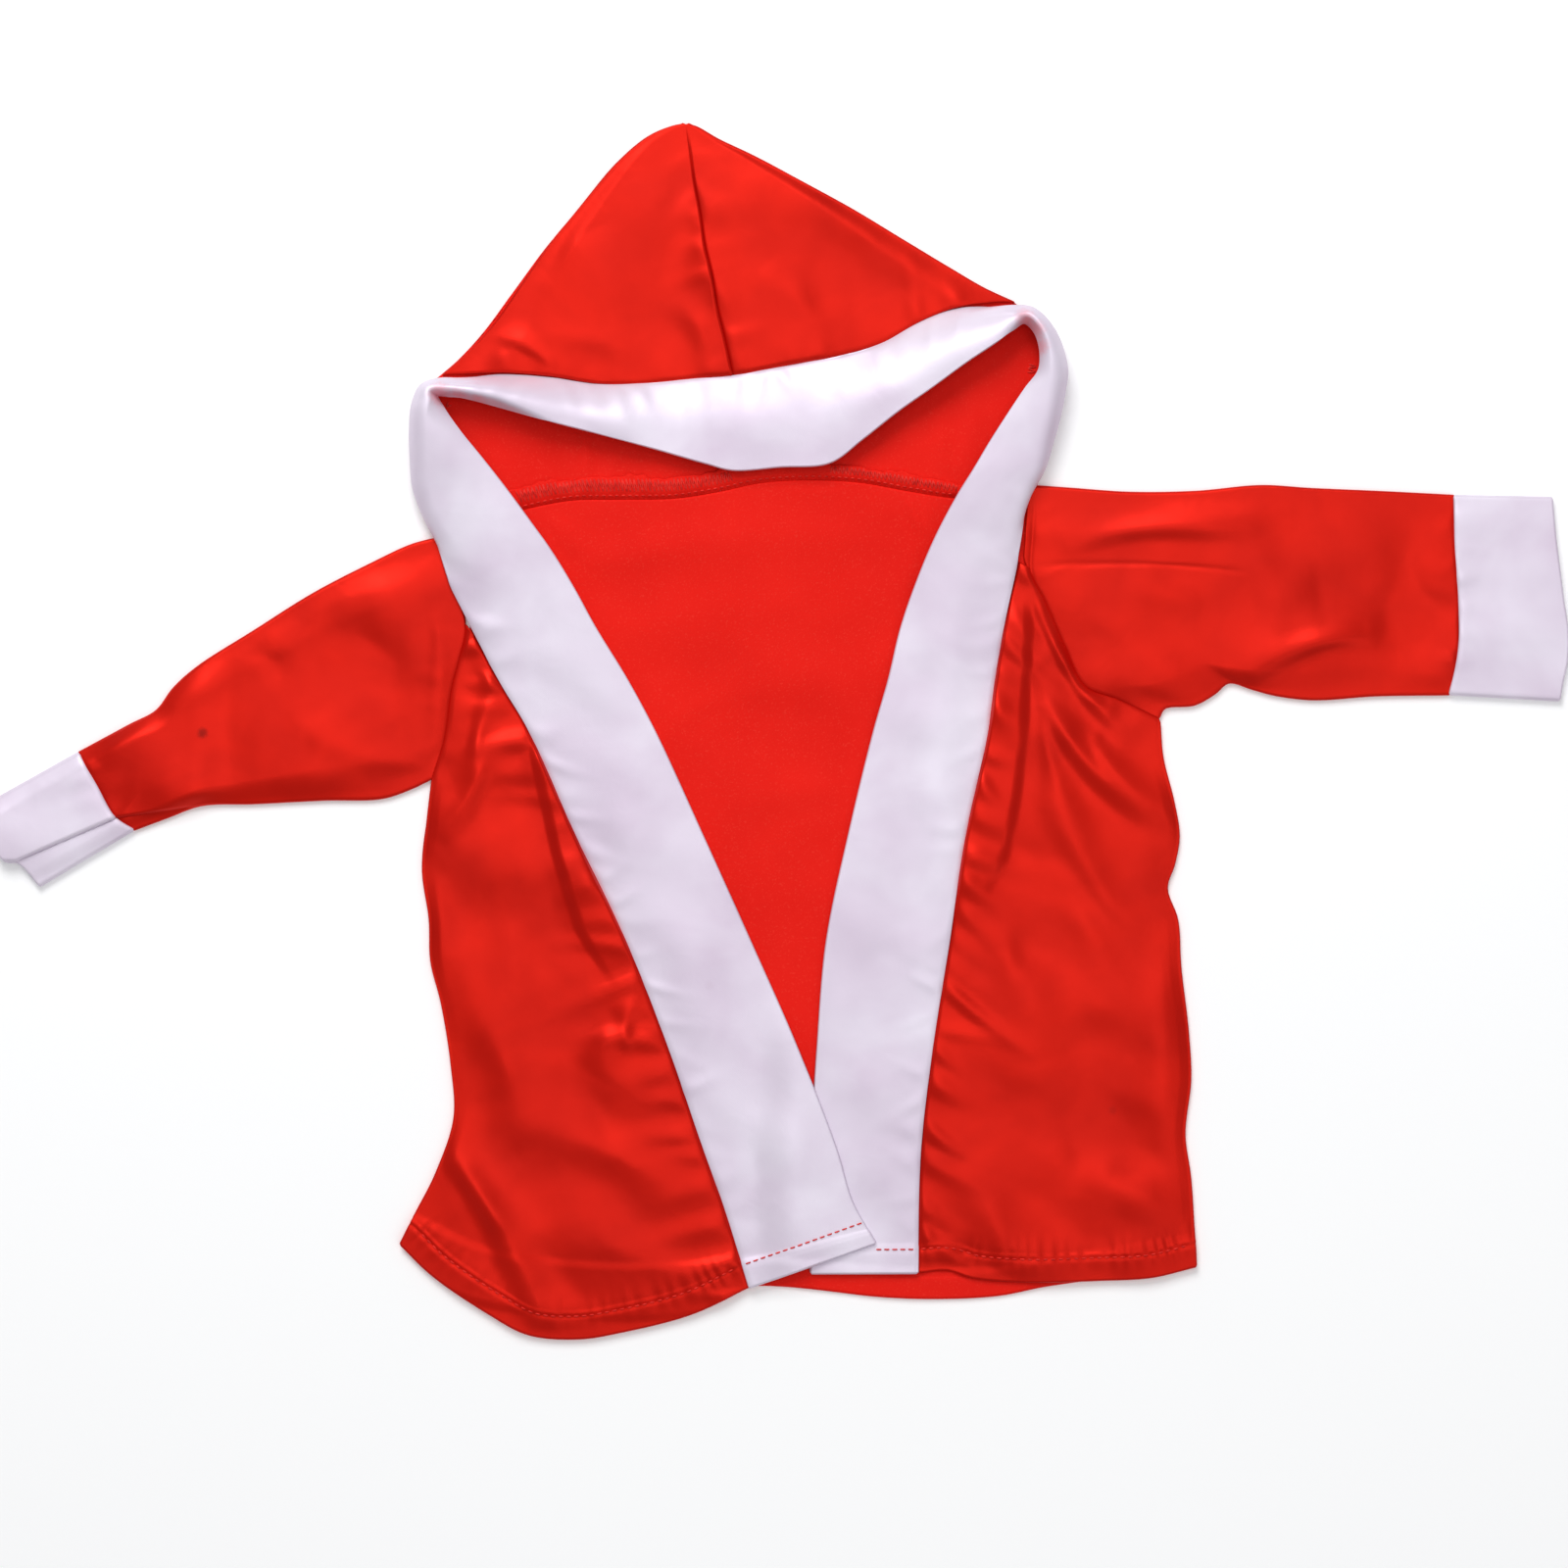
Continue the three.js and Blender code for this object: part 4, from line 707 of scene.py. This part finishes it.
def hood_half(k, name, fold_rows, side_rows):
    """An upper and an under layer that turn into each other at the side, both from the point."""
    sewn = strip_edge(BAND_HOOD)(np.linspace(HOOD_CENTRE, HOOD_CENTRE + k * HOOD_CORNER[k], 400))
    rim_upper = Path(sewn).moved(k * SEAM_GAP)
    side_line = edge(side_rows)
    lower_line = neck[k] if k < 0 else Path(neck[k].points[::-1])

    def rim_under(a):
        on_neck = lower_line((a - SIDE_SHARE) / (1 - SIDE_SHARE))
        return np.where((a < SIDE_SHARE)[..., None], side_line(a / SIDE_SHARE), on_neck)

    fold_curve = curve_through([row[1:] for row in fold_rows])
    fold_from = np.interp(shares, np.linspace(0, 1, len(fold_rows)), [row[0] for row in fold_rows])
    fold_points = fold_curve(shares)
    fans = 0.004 + 0.996 * np.linspace(0, 1, 118) ** 1.3
    crease = np.stack([np.interp(fans, fold_from, fold_points[:, i]) for i in (0, 1)], -1)

    def ray(end, bow=0.0):
        """From the point to an end, bowed as the seam lies, with a slight wave."""
        waved = bow * np.sin(math.pi * fans) + 0.25 * np.sin(fans * 23) * np.sin(math.pi * fans)
        x = lerp(PEAK[0], end[0], fans) + waved + k * 0.12 * np.minimum(fans * 20, 1)
        return np.stack([x, lerp(PEAK[1] - 0.2, end[1], fans)], -1)

    def place(rim, near, far, a):
        """Between two lines from the point, bent towards the rim further out."""
        share = a[..., None]
        bend = rim(a) - lerp(rim(FIRST), rim(LAST), share)
        return lerp(near[:, None], far[:, None], share) + fans[:, None, None] * bend

    upper_seam, under_seam = ray(rim_upper(FIRST), -1.3), ray(rim_under(LAST))
    width = np.hypot(*np.moveaxis(crease - upper_seam, -1, 0))
    inset = np.minimum(FOLD_INSET / np.maximum(width, 1e-6), 0.4)
    turn_from = (1 - inset + np.minimum(0.08 * fans, inset))[:, None]
    a_up = crowded(116)[None, :] * turn_from
    a_down = lerp(inset[:, None], 1, np.linspace(0, 1, 70)[None, :])
    radius = (UPPER - UNDER) / 2
    a_turn = turn_from + radius * np.sin(TURNS)[None, :] / width[:, None]
    plan_up = place(rim_upper, upper_seam, crease, a_up)
    plan_turn = place(rim_upper, upper_seam, crease, a_turn)
    plan_down = place(rim_under, crease, under_seam, a_down)
    x, y = plan_up[..., 0], plan_up[..., 1]
    centre = Path(upper_seam)
    from_centre, from_band = centre.away(x, y), hood_seam.away(x, y)
    spread = smooth(fans * 2.4)[:, None] * smooth((1 - a_up / turn_from) * 5.5)
    height = 1.3 + creases(CREASES_HOOD, x, y)
    height += 0.32 * drift(x, y, 101 + k, 52, 0.7 * k, 0.8) + 0.04 * drift(x, y, 111 + k, 17)
    gathers = puckers(centre, x, y, 121 + k, 14, 4, 0.55, 0.3)
    height += gathers + puckers(hood_seam, x, y, 131 + k, 14, 5, 0.7)
    height += 0.7 * np.exp(-from_centre / 2.4) if k < 0 else -0.2 * np.exp(-from_centre / 3)
    dip = smooth(from_centre / (0.45 if k < 0 else 0.8)) * smooth(from_band)
    z_up = UPPER + above(height, 0.3) * spread * dip
    z_turn = np.broadcast_to((UPPER + UNDER) / 2 + radius * np.cos(TURNS), a_turn.shape)
    x, y = plan_down[..., 0], plan_down[..., 1]
    off_seams = smooth(a_down * 8 - 0.6) * smooth(neck[k].away(x, y) / 5)
    soft = np.clip(0.25 + 0.25 * drift(x, y, 141 + k, 30, 0.3, 0.6), 0, 0.8)
    z_down = UNDER + (creases(CREASES_HOOD_INSIDE, x, y) + soft) * off_seams
    layers = ((plan_up, z_up), (plan_turn, z_turn), (plan_down, z_down))
    return cloth(name, np.concatenate([grid_of(plan, z) for plan, z in layers], axis=1), CLOTH)


def band():
    """The doubled strip in one piece, up one front, round the hood's opening and down the other."""
    rows = BAND_LEFT[::-1] + BAND_HOOD[1:] + BAND_RIGHT[1:]
    table = np.array(rows, float)
    outer, inner = curve_through(table[:, :2]), curve_through(table[:, 2:4])
    count = 980
    plan_out, plan_in = outer(np.linspace(0, 1, count * 2)), inner(np.linspace(0, 1, count * 2))
    step = np.maximum(*[np.hypot(*np.diff(line, axis=0).T) for line in (plan_out, plan_in)])
    reach = np.concatenate([[0], np.cumsum(step)])
    walk = np.linspace(0, reach[-1], count)
    walk[[1, -2]] = 0.2, reach[-1] - 0.2
    t = np.interp(walk, reach, np.linspace(0, 1, count * 2))
    seam, free = outer(t), inner(t)
    width = np.hypot(*np.moveaxis(free - seam, -1, 0))[:, None]
    place = t * (len(rows) - 1)
    kernel = np.hanning(15) / np.hanning(15).sum()

    def column(k):
        """A column of the table, smoothed along the strip."""
        values = np.interp(place, np.arange(len(rows)), table[:, k])
        return np.convolve(np.pad(values, 7, mode="edge"), kernel, mode="valid")[:, None]

    lift, rise, curl = column(4), column(5), column(6)
    s = np.concatenate([
        [0, 0.004], np.linspace(0.018, 0.36, 17)[:-1], np.linspace(0.36, 0.982, 19), [0.996, 1],
    ])[None, :]
    rolled = 0.33  # the share of its width in the roll's outer turn
    tuck = np.minimum(0.6 * width, 6)
    turn = math.pi * np.minimum(s / rolled, 1)
    past = np.maximum(s - rolled, 0) / (1 - rolled)
    roll_x = np.where(s < rolled, tuck * (1 - np.sin(turn)), lerp(tuck, width, past))
    roll_z = rise / 2 * (1 - np.cos(turn)) - 0.2 * rise * past * past
    from_left = place[:, None] - (len(BAND_LEFT) - 1)
    from_right = from_left - (len(BAND_HOOD) - 1)
    fall = 0.4 * bell(from_left, 1.3) + 0.4 * bell(from_right, 1.1)  # steeper at the corners
    roll_z -= fall * rise * past
    crest = np.interp(from_left, [-1, 0, 1, 2, 3, 4, 5], [1, 0.6, 0.55, 0.68, 0.74, 0.95, 1])
    to_crest = np.minimum(1, s / crest / np.clip(0.45 + 0.04 * rise, 0, 1))
    climb = rise * np.sin(0.5 * math.pi * to_crest)
    flat_z = climb - 0.5 * rise * smooth((s - crest) / 0.34) * smooth((1 - crest) * 12)
    d = lerp(s * width, roll_x + DOUBLED / 2, curl)
    plan = seam[:, None] + (free - seam)[:, None] * (d / width)[..., None]
    x, y = plan[..., 0], plan[..., 1]
    lap = np.where(from_left < 0, lap_step(x, y), 0)
    flat = 1 - curl
    edge_roll = -0.35 * (1 - smooth(d / 0.7)) * flat
    draw = np.random.default_rng(5)
    ripples = np.zeros(x.shape)
    along = walk[:, None]
    ripple_at = 0.0
    while ripple_at < reach[-1]:
        ripple_at += 11 * draw.uniform(0.6, 1.6)
        lean = draw.uniform(-0.6, 0.6)
        off = (along - ripple_at - lean * d) / draw.uniform(2.2, 4.6)
        ripples += draw.uniform(0.15, 0.6) * np.exp(-off * off) * (d / 3.5) * np.exp(1 - d / 3.5)
    arch = np.sin(math.pi * s)
    puff = 0.5 * np.sin(math.pi * np.clip(s, 0, 1)) + 0.35 * drift(x, y, 151, 40) * arch ** 0.7
    from_end = np.minimum(along, reach[-1] - along)
    ends = smooth(from_end / 10)
    z = BAND_BASE + lift + SEAM_LOFT * (1 - s) * flat + lerp(flat_z, roll_z, curl)
    z += back_hem_step(x, y) + lap + edge_roll + (ripples + above(puff, 0.2)) * flat * ends
    doubled = second_layer(from_end)
    pulled = -0.2 * bell(from_end - BAND_STITCH, 0.9)
    return cloth("band_cloth", grid_of(plan, z + pulled + 0.5 * doubled), DOUBLED + doubled)


def neck_line(start, end):
    """The neck seam from band to band, between two places in x."""
    whole = edge(NECK_LEFT, NECK_RIGHT)
    first, last = np.interp([start, end], whole.points[:, 0], whole.reach / whole.length)
    return whole.part(first, last)


def allowance_depth(t):
    """The allowance is deeper on the left of the neck than on its right."""
    return ALLOWANCE - 2.4 * smooth((t - 0.3) * 3)


def neck_allowance():
    """The overlocked allowance of the neck seam, turned up onto the hood."""
    seam = neck_line(-100, 79)
    t = np.linspace(0, 1, 300)[:, None]
    s = np.linspace(0, 1, 11)[None, :]
    p = seam(t[:, 0])
    ragged = 0.6 * np.sin(t * 31) + 0.45 * np.sin(t * 67 + 2)
    ragged += 0.4 * np.sin(t * 210) * np.sin(t * 17)
    y = p[:, None, 1] + 0.4 + (1 - s) * (allowance_depth(t) - 0.4 + ragged)
    x = np.broadcast_to(p[:, None, 0], y.shape)
    arch = np.sin(math.pi * s)
    ripple = 0.22 * (1 + np.sin(t * 130 + 3 * np.sin(t * 23))) * (1 - s) ** 2 + 0.25 * arch
    crumpled = 0.16 * (1 + drift(x, y, 161, 9, 0.2, 0.8)) * arch * smooth((0.6 - t) * 4)
    thick = 0.25 + 0.5 * smooth((1 - s) * 3)
    lifted = 0.45 * smooth((1 - s) * 2.5)
    z = UNDER + CLOTH / 2 + thick / 2 + ripple + np.maximum(crumpled, 0) + lifted
    return cloth("neck_seam_allowance", np.stack([x, y, z], -1), thick)


pieces = {
    "back": back(),
    "front_left": front(-1, "front_left_cloth", SIDE_LEFT, HEM_LEFT, CREASES_LEFT),
    "front_right": front(1, "front_right_cloth", SIDE_RIGHT, HEM_RIGHT, CREASES_RIGHT),
    "sleeve_left": sleeve(-1, "sleeve_left_cloth", 124, CREASES_SLEEVE_LEFT, 1.0),
    "sleeve_right": sleeve(1, "sleeve_right_cloth", 136, CREASES_SLEEVE_RIGHT, 1.6),
    "cuff_left": cuff(-1, "cuff_left_cloth"),
    "cuff_right": cuff(1, "cuff_right_cloth"),
    "hood_left": hood_half(-1, "hood_left_cloth", HOOD_FOLD_LEFT, HOOD_EDGE_LEFT),
    "hood_right": hood_half(1, "hood_right_cloth", HOOD_FOLD_RIGHT, HOOD_EDGE_RIGHT),
    "neck_allowance": neck_allowance(),
    "band": band(),
}


# ---- Stitches: each is a short bar of thread that rises from the cloth and dips back ----
THREAD = 0.28  # mm, radius


def topmost(x, y):
    """The height of the highest cloth at a place, and the piece it belongs to."""
    height, owner = -1.0, None
    for node, piece in pieces.items():
        hit, place, _, _ = piece.ray_cast(Vector((x * MM, y * MM, 0.2)), Vector((0, 0, -1)))
        if hit and place.z / MM > height:
            height, owner = place.z / MM, node
    return height, owner


def stitches(name, on, legs):
    """Copies of one stitch from place to place, joined. on is the pieces that may carry it."""
    rings = [  # share of the stitch's length, share of the thread's radius, height
        (0, 0.3, -0.3), (0.2, 0.9, 0.05), (0.5, 1, 0.12), (0.8, 0.9, 0.05), (1, 0.3, -0.3),
    ]
    corners = np.linspace(0, 2 * math.pi, 6, endpoint=False)
    template = np.array([
        (share, r * math.cos(t), lift, r * math.sin(t)) for share, r, lift in rings for t in corners
    ])
    sides = [(ring, j, (j + 1) % 6) for ring in range(0, 24, 6) for j in range(6)]
    faces = [(ring + j, ring + after, ring + 6 + after, ring + 6 + j) for ring, j, after in sides]
    faces += [tuple(range(5, -1, -1)), tuple(range(24, 30))]
    points, polygons = [], []
    for (x0, y0), (x1, y1) in legs:
        z0, under0 = topmost(x0, y0)
        z1, under1 = topmost(x1, y1)
        middle, under = topmost((x0 + x1) / 2, (y0 + y1) / 2)
        if not {under0, under1, under} <= on or max(z0, z1, middle) - min(z0, z1, middle) > 1.6:
            continue
        run = np.array([x1 - x0, y1 - y0, 0.0])
        side = np.array([-run[1], run[0], 0.0]) / np.linalg.norm(run)
        place = np.array([x0, y0, 0.0]) + template[:, :1] * run + THREAD * template[:, 1:2] * side
        share = template[:, 0]
        surface = lerp(z0, z1, share) + (middle - (z0 + z1) / 2) * 4 * share * (1 - share)
        surface += 0.7 * THREAD * (share > 0) * (share < 1)
        place[:, 2] = surface + template[:, 2] + THREAD * template[:, 3]
        start = len(template) * len(points)
        points.append(place)
        polygons += [tuple(start + v for v in face) for face in faces]
    return on_root(name, np.vstack(points), polygons)


def running(line, pitch, share=0.72):
    """A running stitch along a line."""
    count = int(line.length / pitch)
    starts = (np.arange(count) + 0.5 * (1 - share)) / count
    return list(zip(line(starts), line(starts + share / count)))


def zigzag(line, near, far, pitch, seed):
    """Overlock threads that go to and fro over an edge."""
    count = int(line.length / pitch)
    draw = np.random.default_rng(seed)
    at = (np.arange(count) + draw.uniform(-0.25, 0.25, count)) / count
    low, high = line.moved(near), line.moved(far)
    rows = [low(t) if i % 2 else high(t) for i, t in enumerate(at)]
    return list(zip(rows[:-1], rows[1:]))


bpy.context.view_layer.update()
left_hem = edge(HEM_LEFT).moved(HEM_STITCH).part(0.02, 0.985)
right_hem = edge(HEM_RIGHT).moved(HEM_STITCH).part(0.01, 0.985)
band_ends = [Path(np.array([row[:2], row[2:4]])) for row in (BAND_LEFT[-1], BAND_RIGHT[-1])]
allowance_line = neck_line(-99, 78)
allowance_top = allowance_depth(allowance_line.reach / allowance_line.length) - 0.2
stitch_rows = {
    "front_left": stitches("hem_stitches_left", {"front_left"}, running(left_hem, 2.9)),
    "front_right": stitches("hem_stitches_right", {"front_right"}, running(right_hem, 2.9)),
    "band": stitches("hem_stitches_band", {"band"}, [
        leg for (k, shown), end in zip(((1, 0.97), (-1, 0.4)), band_ends)
        for leg in running(end.moved(k * BAND_STITCH).part(0.02, shown), 2.9, 0.8)
    ]),
    "neck_allowance": stitches(
        "neck_stitches", {"neck_allowance", "hood_left", "hood_right"},
        running(allowance_line.moved(1.2), 2.5)
        + zigzag(allowance_line, 2.0, allowance_top, 0.75, 7),
    ),
    "hood_left": stitches("corner_overlock_left", {"hood_left", "band"}, zigzag(
        Path([(-127.5, 128), (-124, 126), (-121.5, 123.5)]), 1.2, -1.2, 0.9, 9,
    )),
    "hood_right": stitches("corner_overlock_right", {"hood_right", "band"}, zigzag(
        Path([(99.6, 136), (101.4, 146), (100.6, 153)]), 1.6, -2.2, 0.9, 8,
    )),
}


# ---- Materials ----
WEAVE_PITCH = 0.0003  # m
WEAVE_DEPTH = 0.000006  # m


def feed(node, inputs):
    """Gives inputs of a node, by name or number, their values or links."""
    for label, value in inputs.items():
        if isinstance(value, bpy.types.NodeSocket):
            node.id_data.links.new(value, node.inputs[label])
        else:
            node.inputs[label].default_value = value


def add_node(tree, kind, inputs, **settings):
    node = tree.nodes.new("ShaderNode" + kind)
    for name, value in settings.items():
        setattr(node, name, value)
    feed(node, inputs)
    return node


def math_node(tree, operation, *values):
    return add_node(tree, "Math", dict(enumerate(values)), operation=operation).outputs[0]


def group_node(tree, group, place, **values):
    return add_node(tree, "Group", {0: place, **values}, node_tree=group).outputs[0]


def mixed(tree, fac, first, second):
    """Colours first and second mixed by fac. Each may be a socket or a colour."""
    first, second = [(*side, 1) if isinstance(side, tuple) else side for side in (first, second)]
    return add_node(tree, "Mix", {0: fac, 6: first, 7: second}, data_type="RGBA").outputs[2]


def new_material(name):
    material = bpy.data.materials.new(name)
    material.use_nodes = True
    return material, material.node_tree, material.node_tree.nodes["Principled BSDF"]


def node_group(name, inputs, output):
    """A new group with a place and other inputs. It gives the group, its inputs and its result."""
    group = bpy.data.node_groups.new(name, "ShaderNodeTree")
    for label, kind, value in inputs:
        kind = "NodeSocket" + kind
        socket = group.interface.new_socket(name=label, in_out="INPUT", socket_type=kind)
        if value is not None:
            socket.default_value = value
    group.interface.new_socket(name=output, in_out="OUTPUT", socket_type="NodeSocketFloat")
    return group, group.nodes.new("NodeGroupInput").outputs, group.nodes.new("NodeGroupOutput")


def weave_group():
    """Five-end satin: long floats along the threads, each bound down by a short dip."""
    inputs = [("Threads", "Vector", None), ("Pitch", "Float", WEAVE_PITCH)]
    group, given, result = node_group("satin_weave", inputs, "Height")
    split = add_node(group, "SeparateXYZ", {0: given["Threads"]})
    across = math_node(group, "DIVIDE", split.outputs[0], given["Pitch"])
    along = math_node(group, "DIVIDE", split.outputs[1], given["Pitch"])
    offset = math_node(group, "MULTIPLY", math_node(group, "FLOOR", across), 0.4)
    phase = math_node(group, "ADD", math_node(group, "MULTIPLY", along, 0.2), offset)
    floated = math_node(group, "MULTIPLY", math_node(group, "PINGPONG", phase, 0.5), 4.0)
    bound = math_node(group, "SMOOTH_MIN", floated, 1.0, 0.3)
    crown = math_node(group, "MULTIPLY", math_node(group, "PINGPONG", across, 0.5), 1.2)
    feed(result, {"Height": math_node(group, "ADD", bound, crown)})
    return group


def noise_group(name, detail, distortion, low, high):
    """Noise between two levels, stretched to run from 0 to 1."""
    inputs = [("Place", "Vector", None), ("Scale", "Float", 20.0)]
    group, given, result = node_group(name, inputs, "Amount")
    noise = add_node(group, "TexNoise", {
        "Vector": given["Place"], "Scale": given["Scale"], "Detail": detail,
        "Distortion": distortion,
    })
    levels = {"Value": noise.outputs["Fac"], "From Min": low, "From Max": high}
    feed(result, {"Amount": add_node(group, "MapRange", levels).outputs[0]})
    return group


def spot_group():
    """A small soft-edged mark at a place."""
    inputs = [("Place", "Vector", None), ("Centre", "Vector", None), ("Radius", "Float", 0.002)]
    group, given, result = node_group("spot", inputs, "Amount")
    flat = add_node(group, "VectorMath", {0: given["Place"], 1: (1, 1, 0)}, operation="MULTIPLY")
    ends = {0: flat.outputs[0], 1: given["Centre"]}
    away = add_node(group, "VectorMath", ends, operation="DISTANCE").outputs["Value"]
    rough = add_node(group, "TexNoise", {"Vector": given["Place"], "Scale": 900}).outputs["Fac"]
    share = math_node(group, "DIVIDE", away, given["Radius"])
    uneven = math_node(group, "ADD", share, math_node(group, "MULTIPLY", rough, 0.6))
    levels = {"Value": uneven, "From Min": 0.5, "From Max": 1.5, "To Min": 1.0, "To Max": 0.0}
    falling = add_node(group, "MapRange", levels, interpolation_type="SMOOTHSTEP")
    feed(result, {"Amount": falling.outputs[0]})
    return group


WEAVE = weave_group()
MOTTLE = noise_group("mottle", 3.0, 0.4, 0.3, 0.7)
# Noise for flecks of painted sparkle, standing in for glints.
SPARKLE_NOISE = noise_group("painted_sparkle", 1.0, 0.0, 0.6, 0.72)
CRUMPLE = noise_group("crumple", 2.0, 0.6, 0.2, 0.8)
SPOT = spot_group()


def satin(
    name, colour, deep, shine, rough, metal, crumple=0.00007, tint=None, painted_sparkle=None, spots=(),
):
    """Satin: tone that drifts over the cloth in random patches of painted lighter and darker sheen,
    a fine weave and faint crumples.
    """
    material, tree, shader = new_material(name)
    place = add_node(tree, "TexCoord", {}).outputs["Object"]
    # Painted sheen: the colour is mixed at random between the darker and the lighter one, standing
    # in for the satin's shifting sheen.
    tone = mixed(tree, group_node(tree, MOTTLE, place, Scale=22.0), deep, colour)
    # Painted sparkle: bright flecks in the colour stand in for glints off the threads.
    if painted_sparkle:
        fleck = group_node(tree, SPARKLE_NOISE, place, Scale=1400.0)
        tone = mixed(tree, math_node(tree, "MULTIPLY", fleck, 0.22), tone, painted_sparkle)
    # Spots: real stains, and patches of painted pink light in the white strip's corners.
    for x, y, radius, strength, stain_and_glow in spots:
        mark = group_node(tree, SPOT, place, Centre=(x * MM, y * MM, 0), Radius=radius * MM)
        tone = mixed(tree, math_node(tree, "MULTIPLY", mark, strength), tone, stain_and_glow)
    worn = group_node(tree, MOTTLE, place, Scale=60.0)
    threads = add_node(tree, "UVMap", {}, uv_map="threads").outputs[0]
    weave = group_node(tree, WEAVE, threads, Pitch=WEAVE_PITCH)
    bent = group_node(tree, CRUMPLE, place, Scale=90.0)
    floats = math_node(tree, "MULTIPLY", weave, WEAVE_DEPTH)
    height = math_node(tree, "MULTIPLY_ADD", bent, crumple, floats)
    bump = add_node(tree, "Bump", {"Distance": 1.0, "Strength": 1.0, "Height": height})
    feed(shader, {
        "Base Color": tone, "Metallic": metal, "Specular IOR Level": shine,
        "Roughness": math_node(tree, "MULTIPLY_ADD", worn, 0.08, rough), "Normal": bump.outputs[0],
    })
    if tint:
        feed(shader, {"Specular Tint": (*tint, 1)})
    return material


RED = (0.7, 0.0105, 0.0048)
# The darker red of those patches is painted shade of the sheen.
RED_SHEEN_DARK = (0.55, 0.0065, 0.0036)
STAIN = (0.2, 0.004, 0.004)
PAINTED_PINK_LIGHT = (0.86, 0.42, 0.5)  # painted pink light: red light shining through one layer of white and bounced from the red, inside the strip's shaded corners
red_satin = satin("red_satin", RED, RED_SHEEN_DARK, 0.38, 0.35, 0.45, tint=(1.0, 0.42, 0.27), spots=[
    (-216.4, -0.6, 2.4, 0.75, STAIN), (131.3, -144.9, 2.0, 0.25, STAIN),
])
red_inside = satin(
    "red_satin_inside", (0.86, 0.014, 0.0075), (0.79, 0.011, 0.006), 0.08, 0.6, 0.1,
    # Bright flecks of painted sparkle.
    crumple=0.00004, painted_sparkle=(0.95, 0.08, 0.05),
)
# The white's darker colour is painted sheen: greyer patches where the satin's sheen dims.
white_satin = satin("white_satin", (0.84, 0.77, 0.88), (0.7, 0.59, 0.72), 0.25, 0.4, 0.2, spots=[
    (-22.9, -96.9, 2.2, 0.12, (0.5, 0.35, 0.45)),
    # Painted pink light in the strip's corners.
    (-125, 128, 4.8, 0.9, PAINTED_PINK_LIGHT), (-118.5, 126.4, 4.6, 0.85, PAINTED_PINK_LIGHT),
    (-111, 124.4, 4.0, 0.7, PAINTED_PINK_LIGHT),
    (97, 157, 4.2, 0.75, PAINTED_PINK_LIGHT), (101, 152.4, 4.2, 0.8, PAINTED_PINK_LIGHT),
    (102.6, 146, 4.0, 0.8, PAINTED_PINK_LIGHT),
])
red_thread, thread_tree, thread_shader = new_material("red_thread")
thread_place = add_node(thread_tree, "TexCoord", {}).outputs["Object"]
thread_tone = group_node(thread_tree, MOTTLE, thread_place, Scale=500.0)
feed(thread_shader, {
    "Base Color": mixed(thread_tree, thread_tone, (0.6, 0.01, 0.006), (0.92, 0.035, 0.022)),
    "Roughness": 0.55, "Specular IOR Level": 0.3,
})
for node, piece in pieces.items():
    if node == "band":
        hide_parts("band_left", "band_hood", "band_right")
    else:
        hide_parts(node)
    if node in ("cuff_left", "cuff_right", "band"):
        outside, inside, slot = white_satin, white_satin, "white_satin"
    elif node in ("back", "neck_allowance"):
        outside, inside, slot = red_inside, red_satin, "red_satin_inside"
    else:
        outside, inside, slot = red_satin, red_inside, "red_satin"
    piece.data.materials.append(outside)
    piece.data.materials.append(inside)

for thread in stitch_rows.values():
    thread.data.materials.append(red_thread)

# ---- Floor, lights and surroundings ----
bpy.ops.mesh.primitive_plane_add(size=6, location=(0, 0, -0.0002))
floor = bpy.context.active_object
floor.name = "floor"
floor_material, _, floor_shader = new_material("pale_floor")
feed(floor_shader, {
    "Base Color": (0.97, 0.97, 0.97, 1), "Emission Color": (1, 1, 1, 1), "Emission Strength": 0.1,
    "Roughness": 0.9, "Specular IOR Level": 0.0,
})
floor.data.materials.append(floor_material)
world = bpy.data.worlds.new("studio")
world.use_nodes = True
feed(world.node_tree.nodes["Background"], {"Color": (0.95, 0.97, 1.0, 1), "Strength": 0.3})
scene.world = world
LIGHTS = [  # name, place in m, size in m, power in W
    ("key", (-0.35, 1.35, 1.45), 1.0, 26),
    ("fill", (1.1, -1.1, 1.8), 1.4, 6.5),
    ("overhead", (0.1, 0.2, 2.6), 1.6, 13),
]
for name, place, size, power in LIGHTS:
    light = bpy.data.lights.new(name, "AREA")
    light.size = size
    light.energy = power
    lamp = bpy.data.objects.new(name, light)
    lamp.location = place
    lamp.rotation_euler = (-Vector(place)).to_track_quat("-Z", "Y").to_euler()
    scene.collection.objects.link(lamp)
scene.view_settings.view_transform = "Standard"
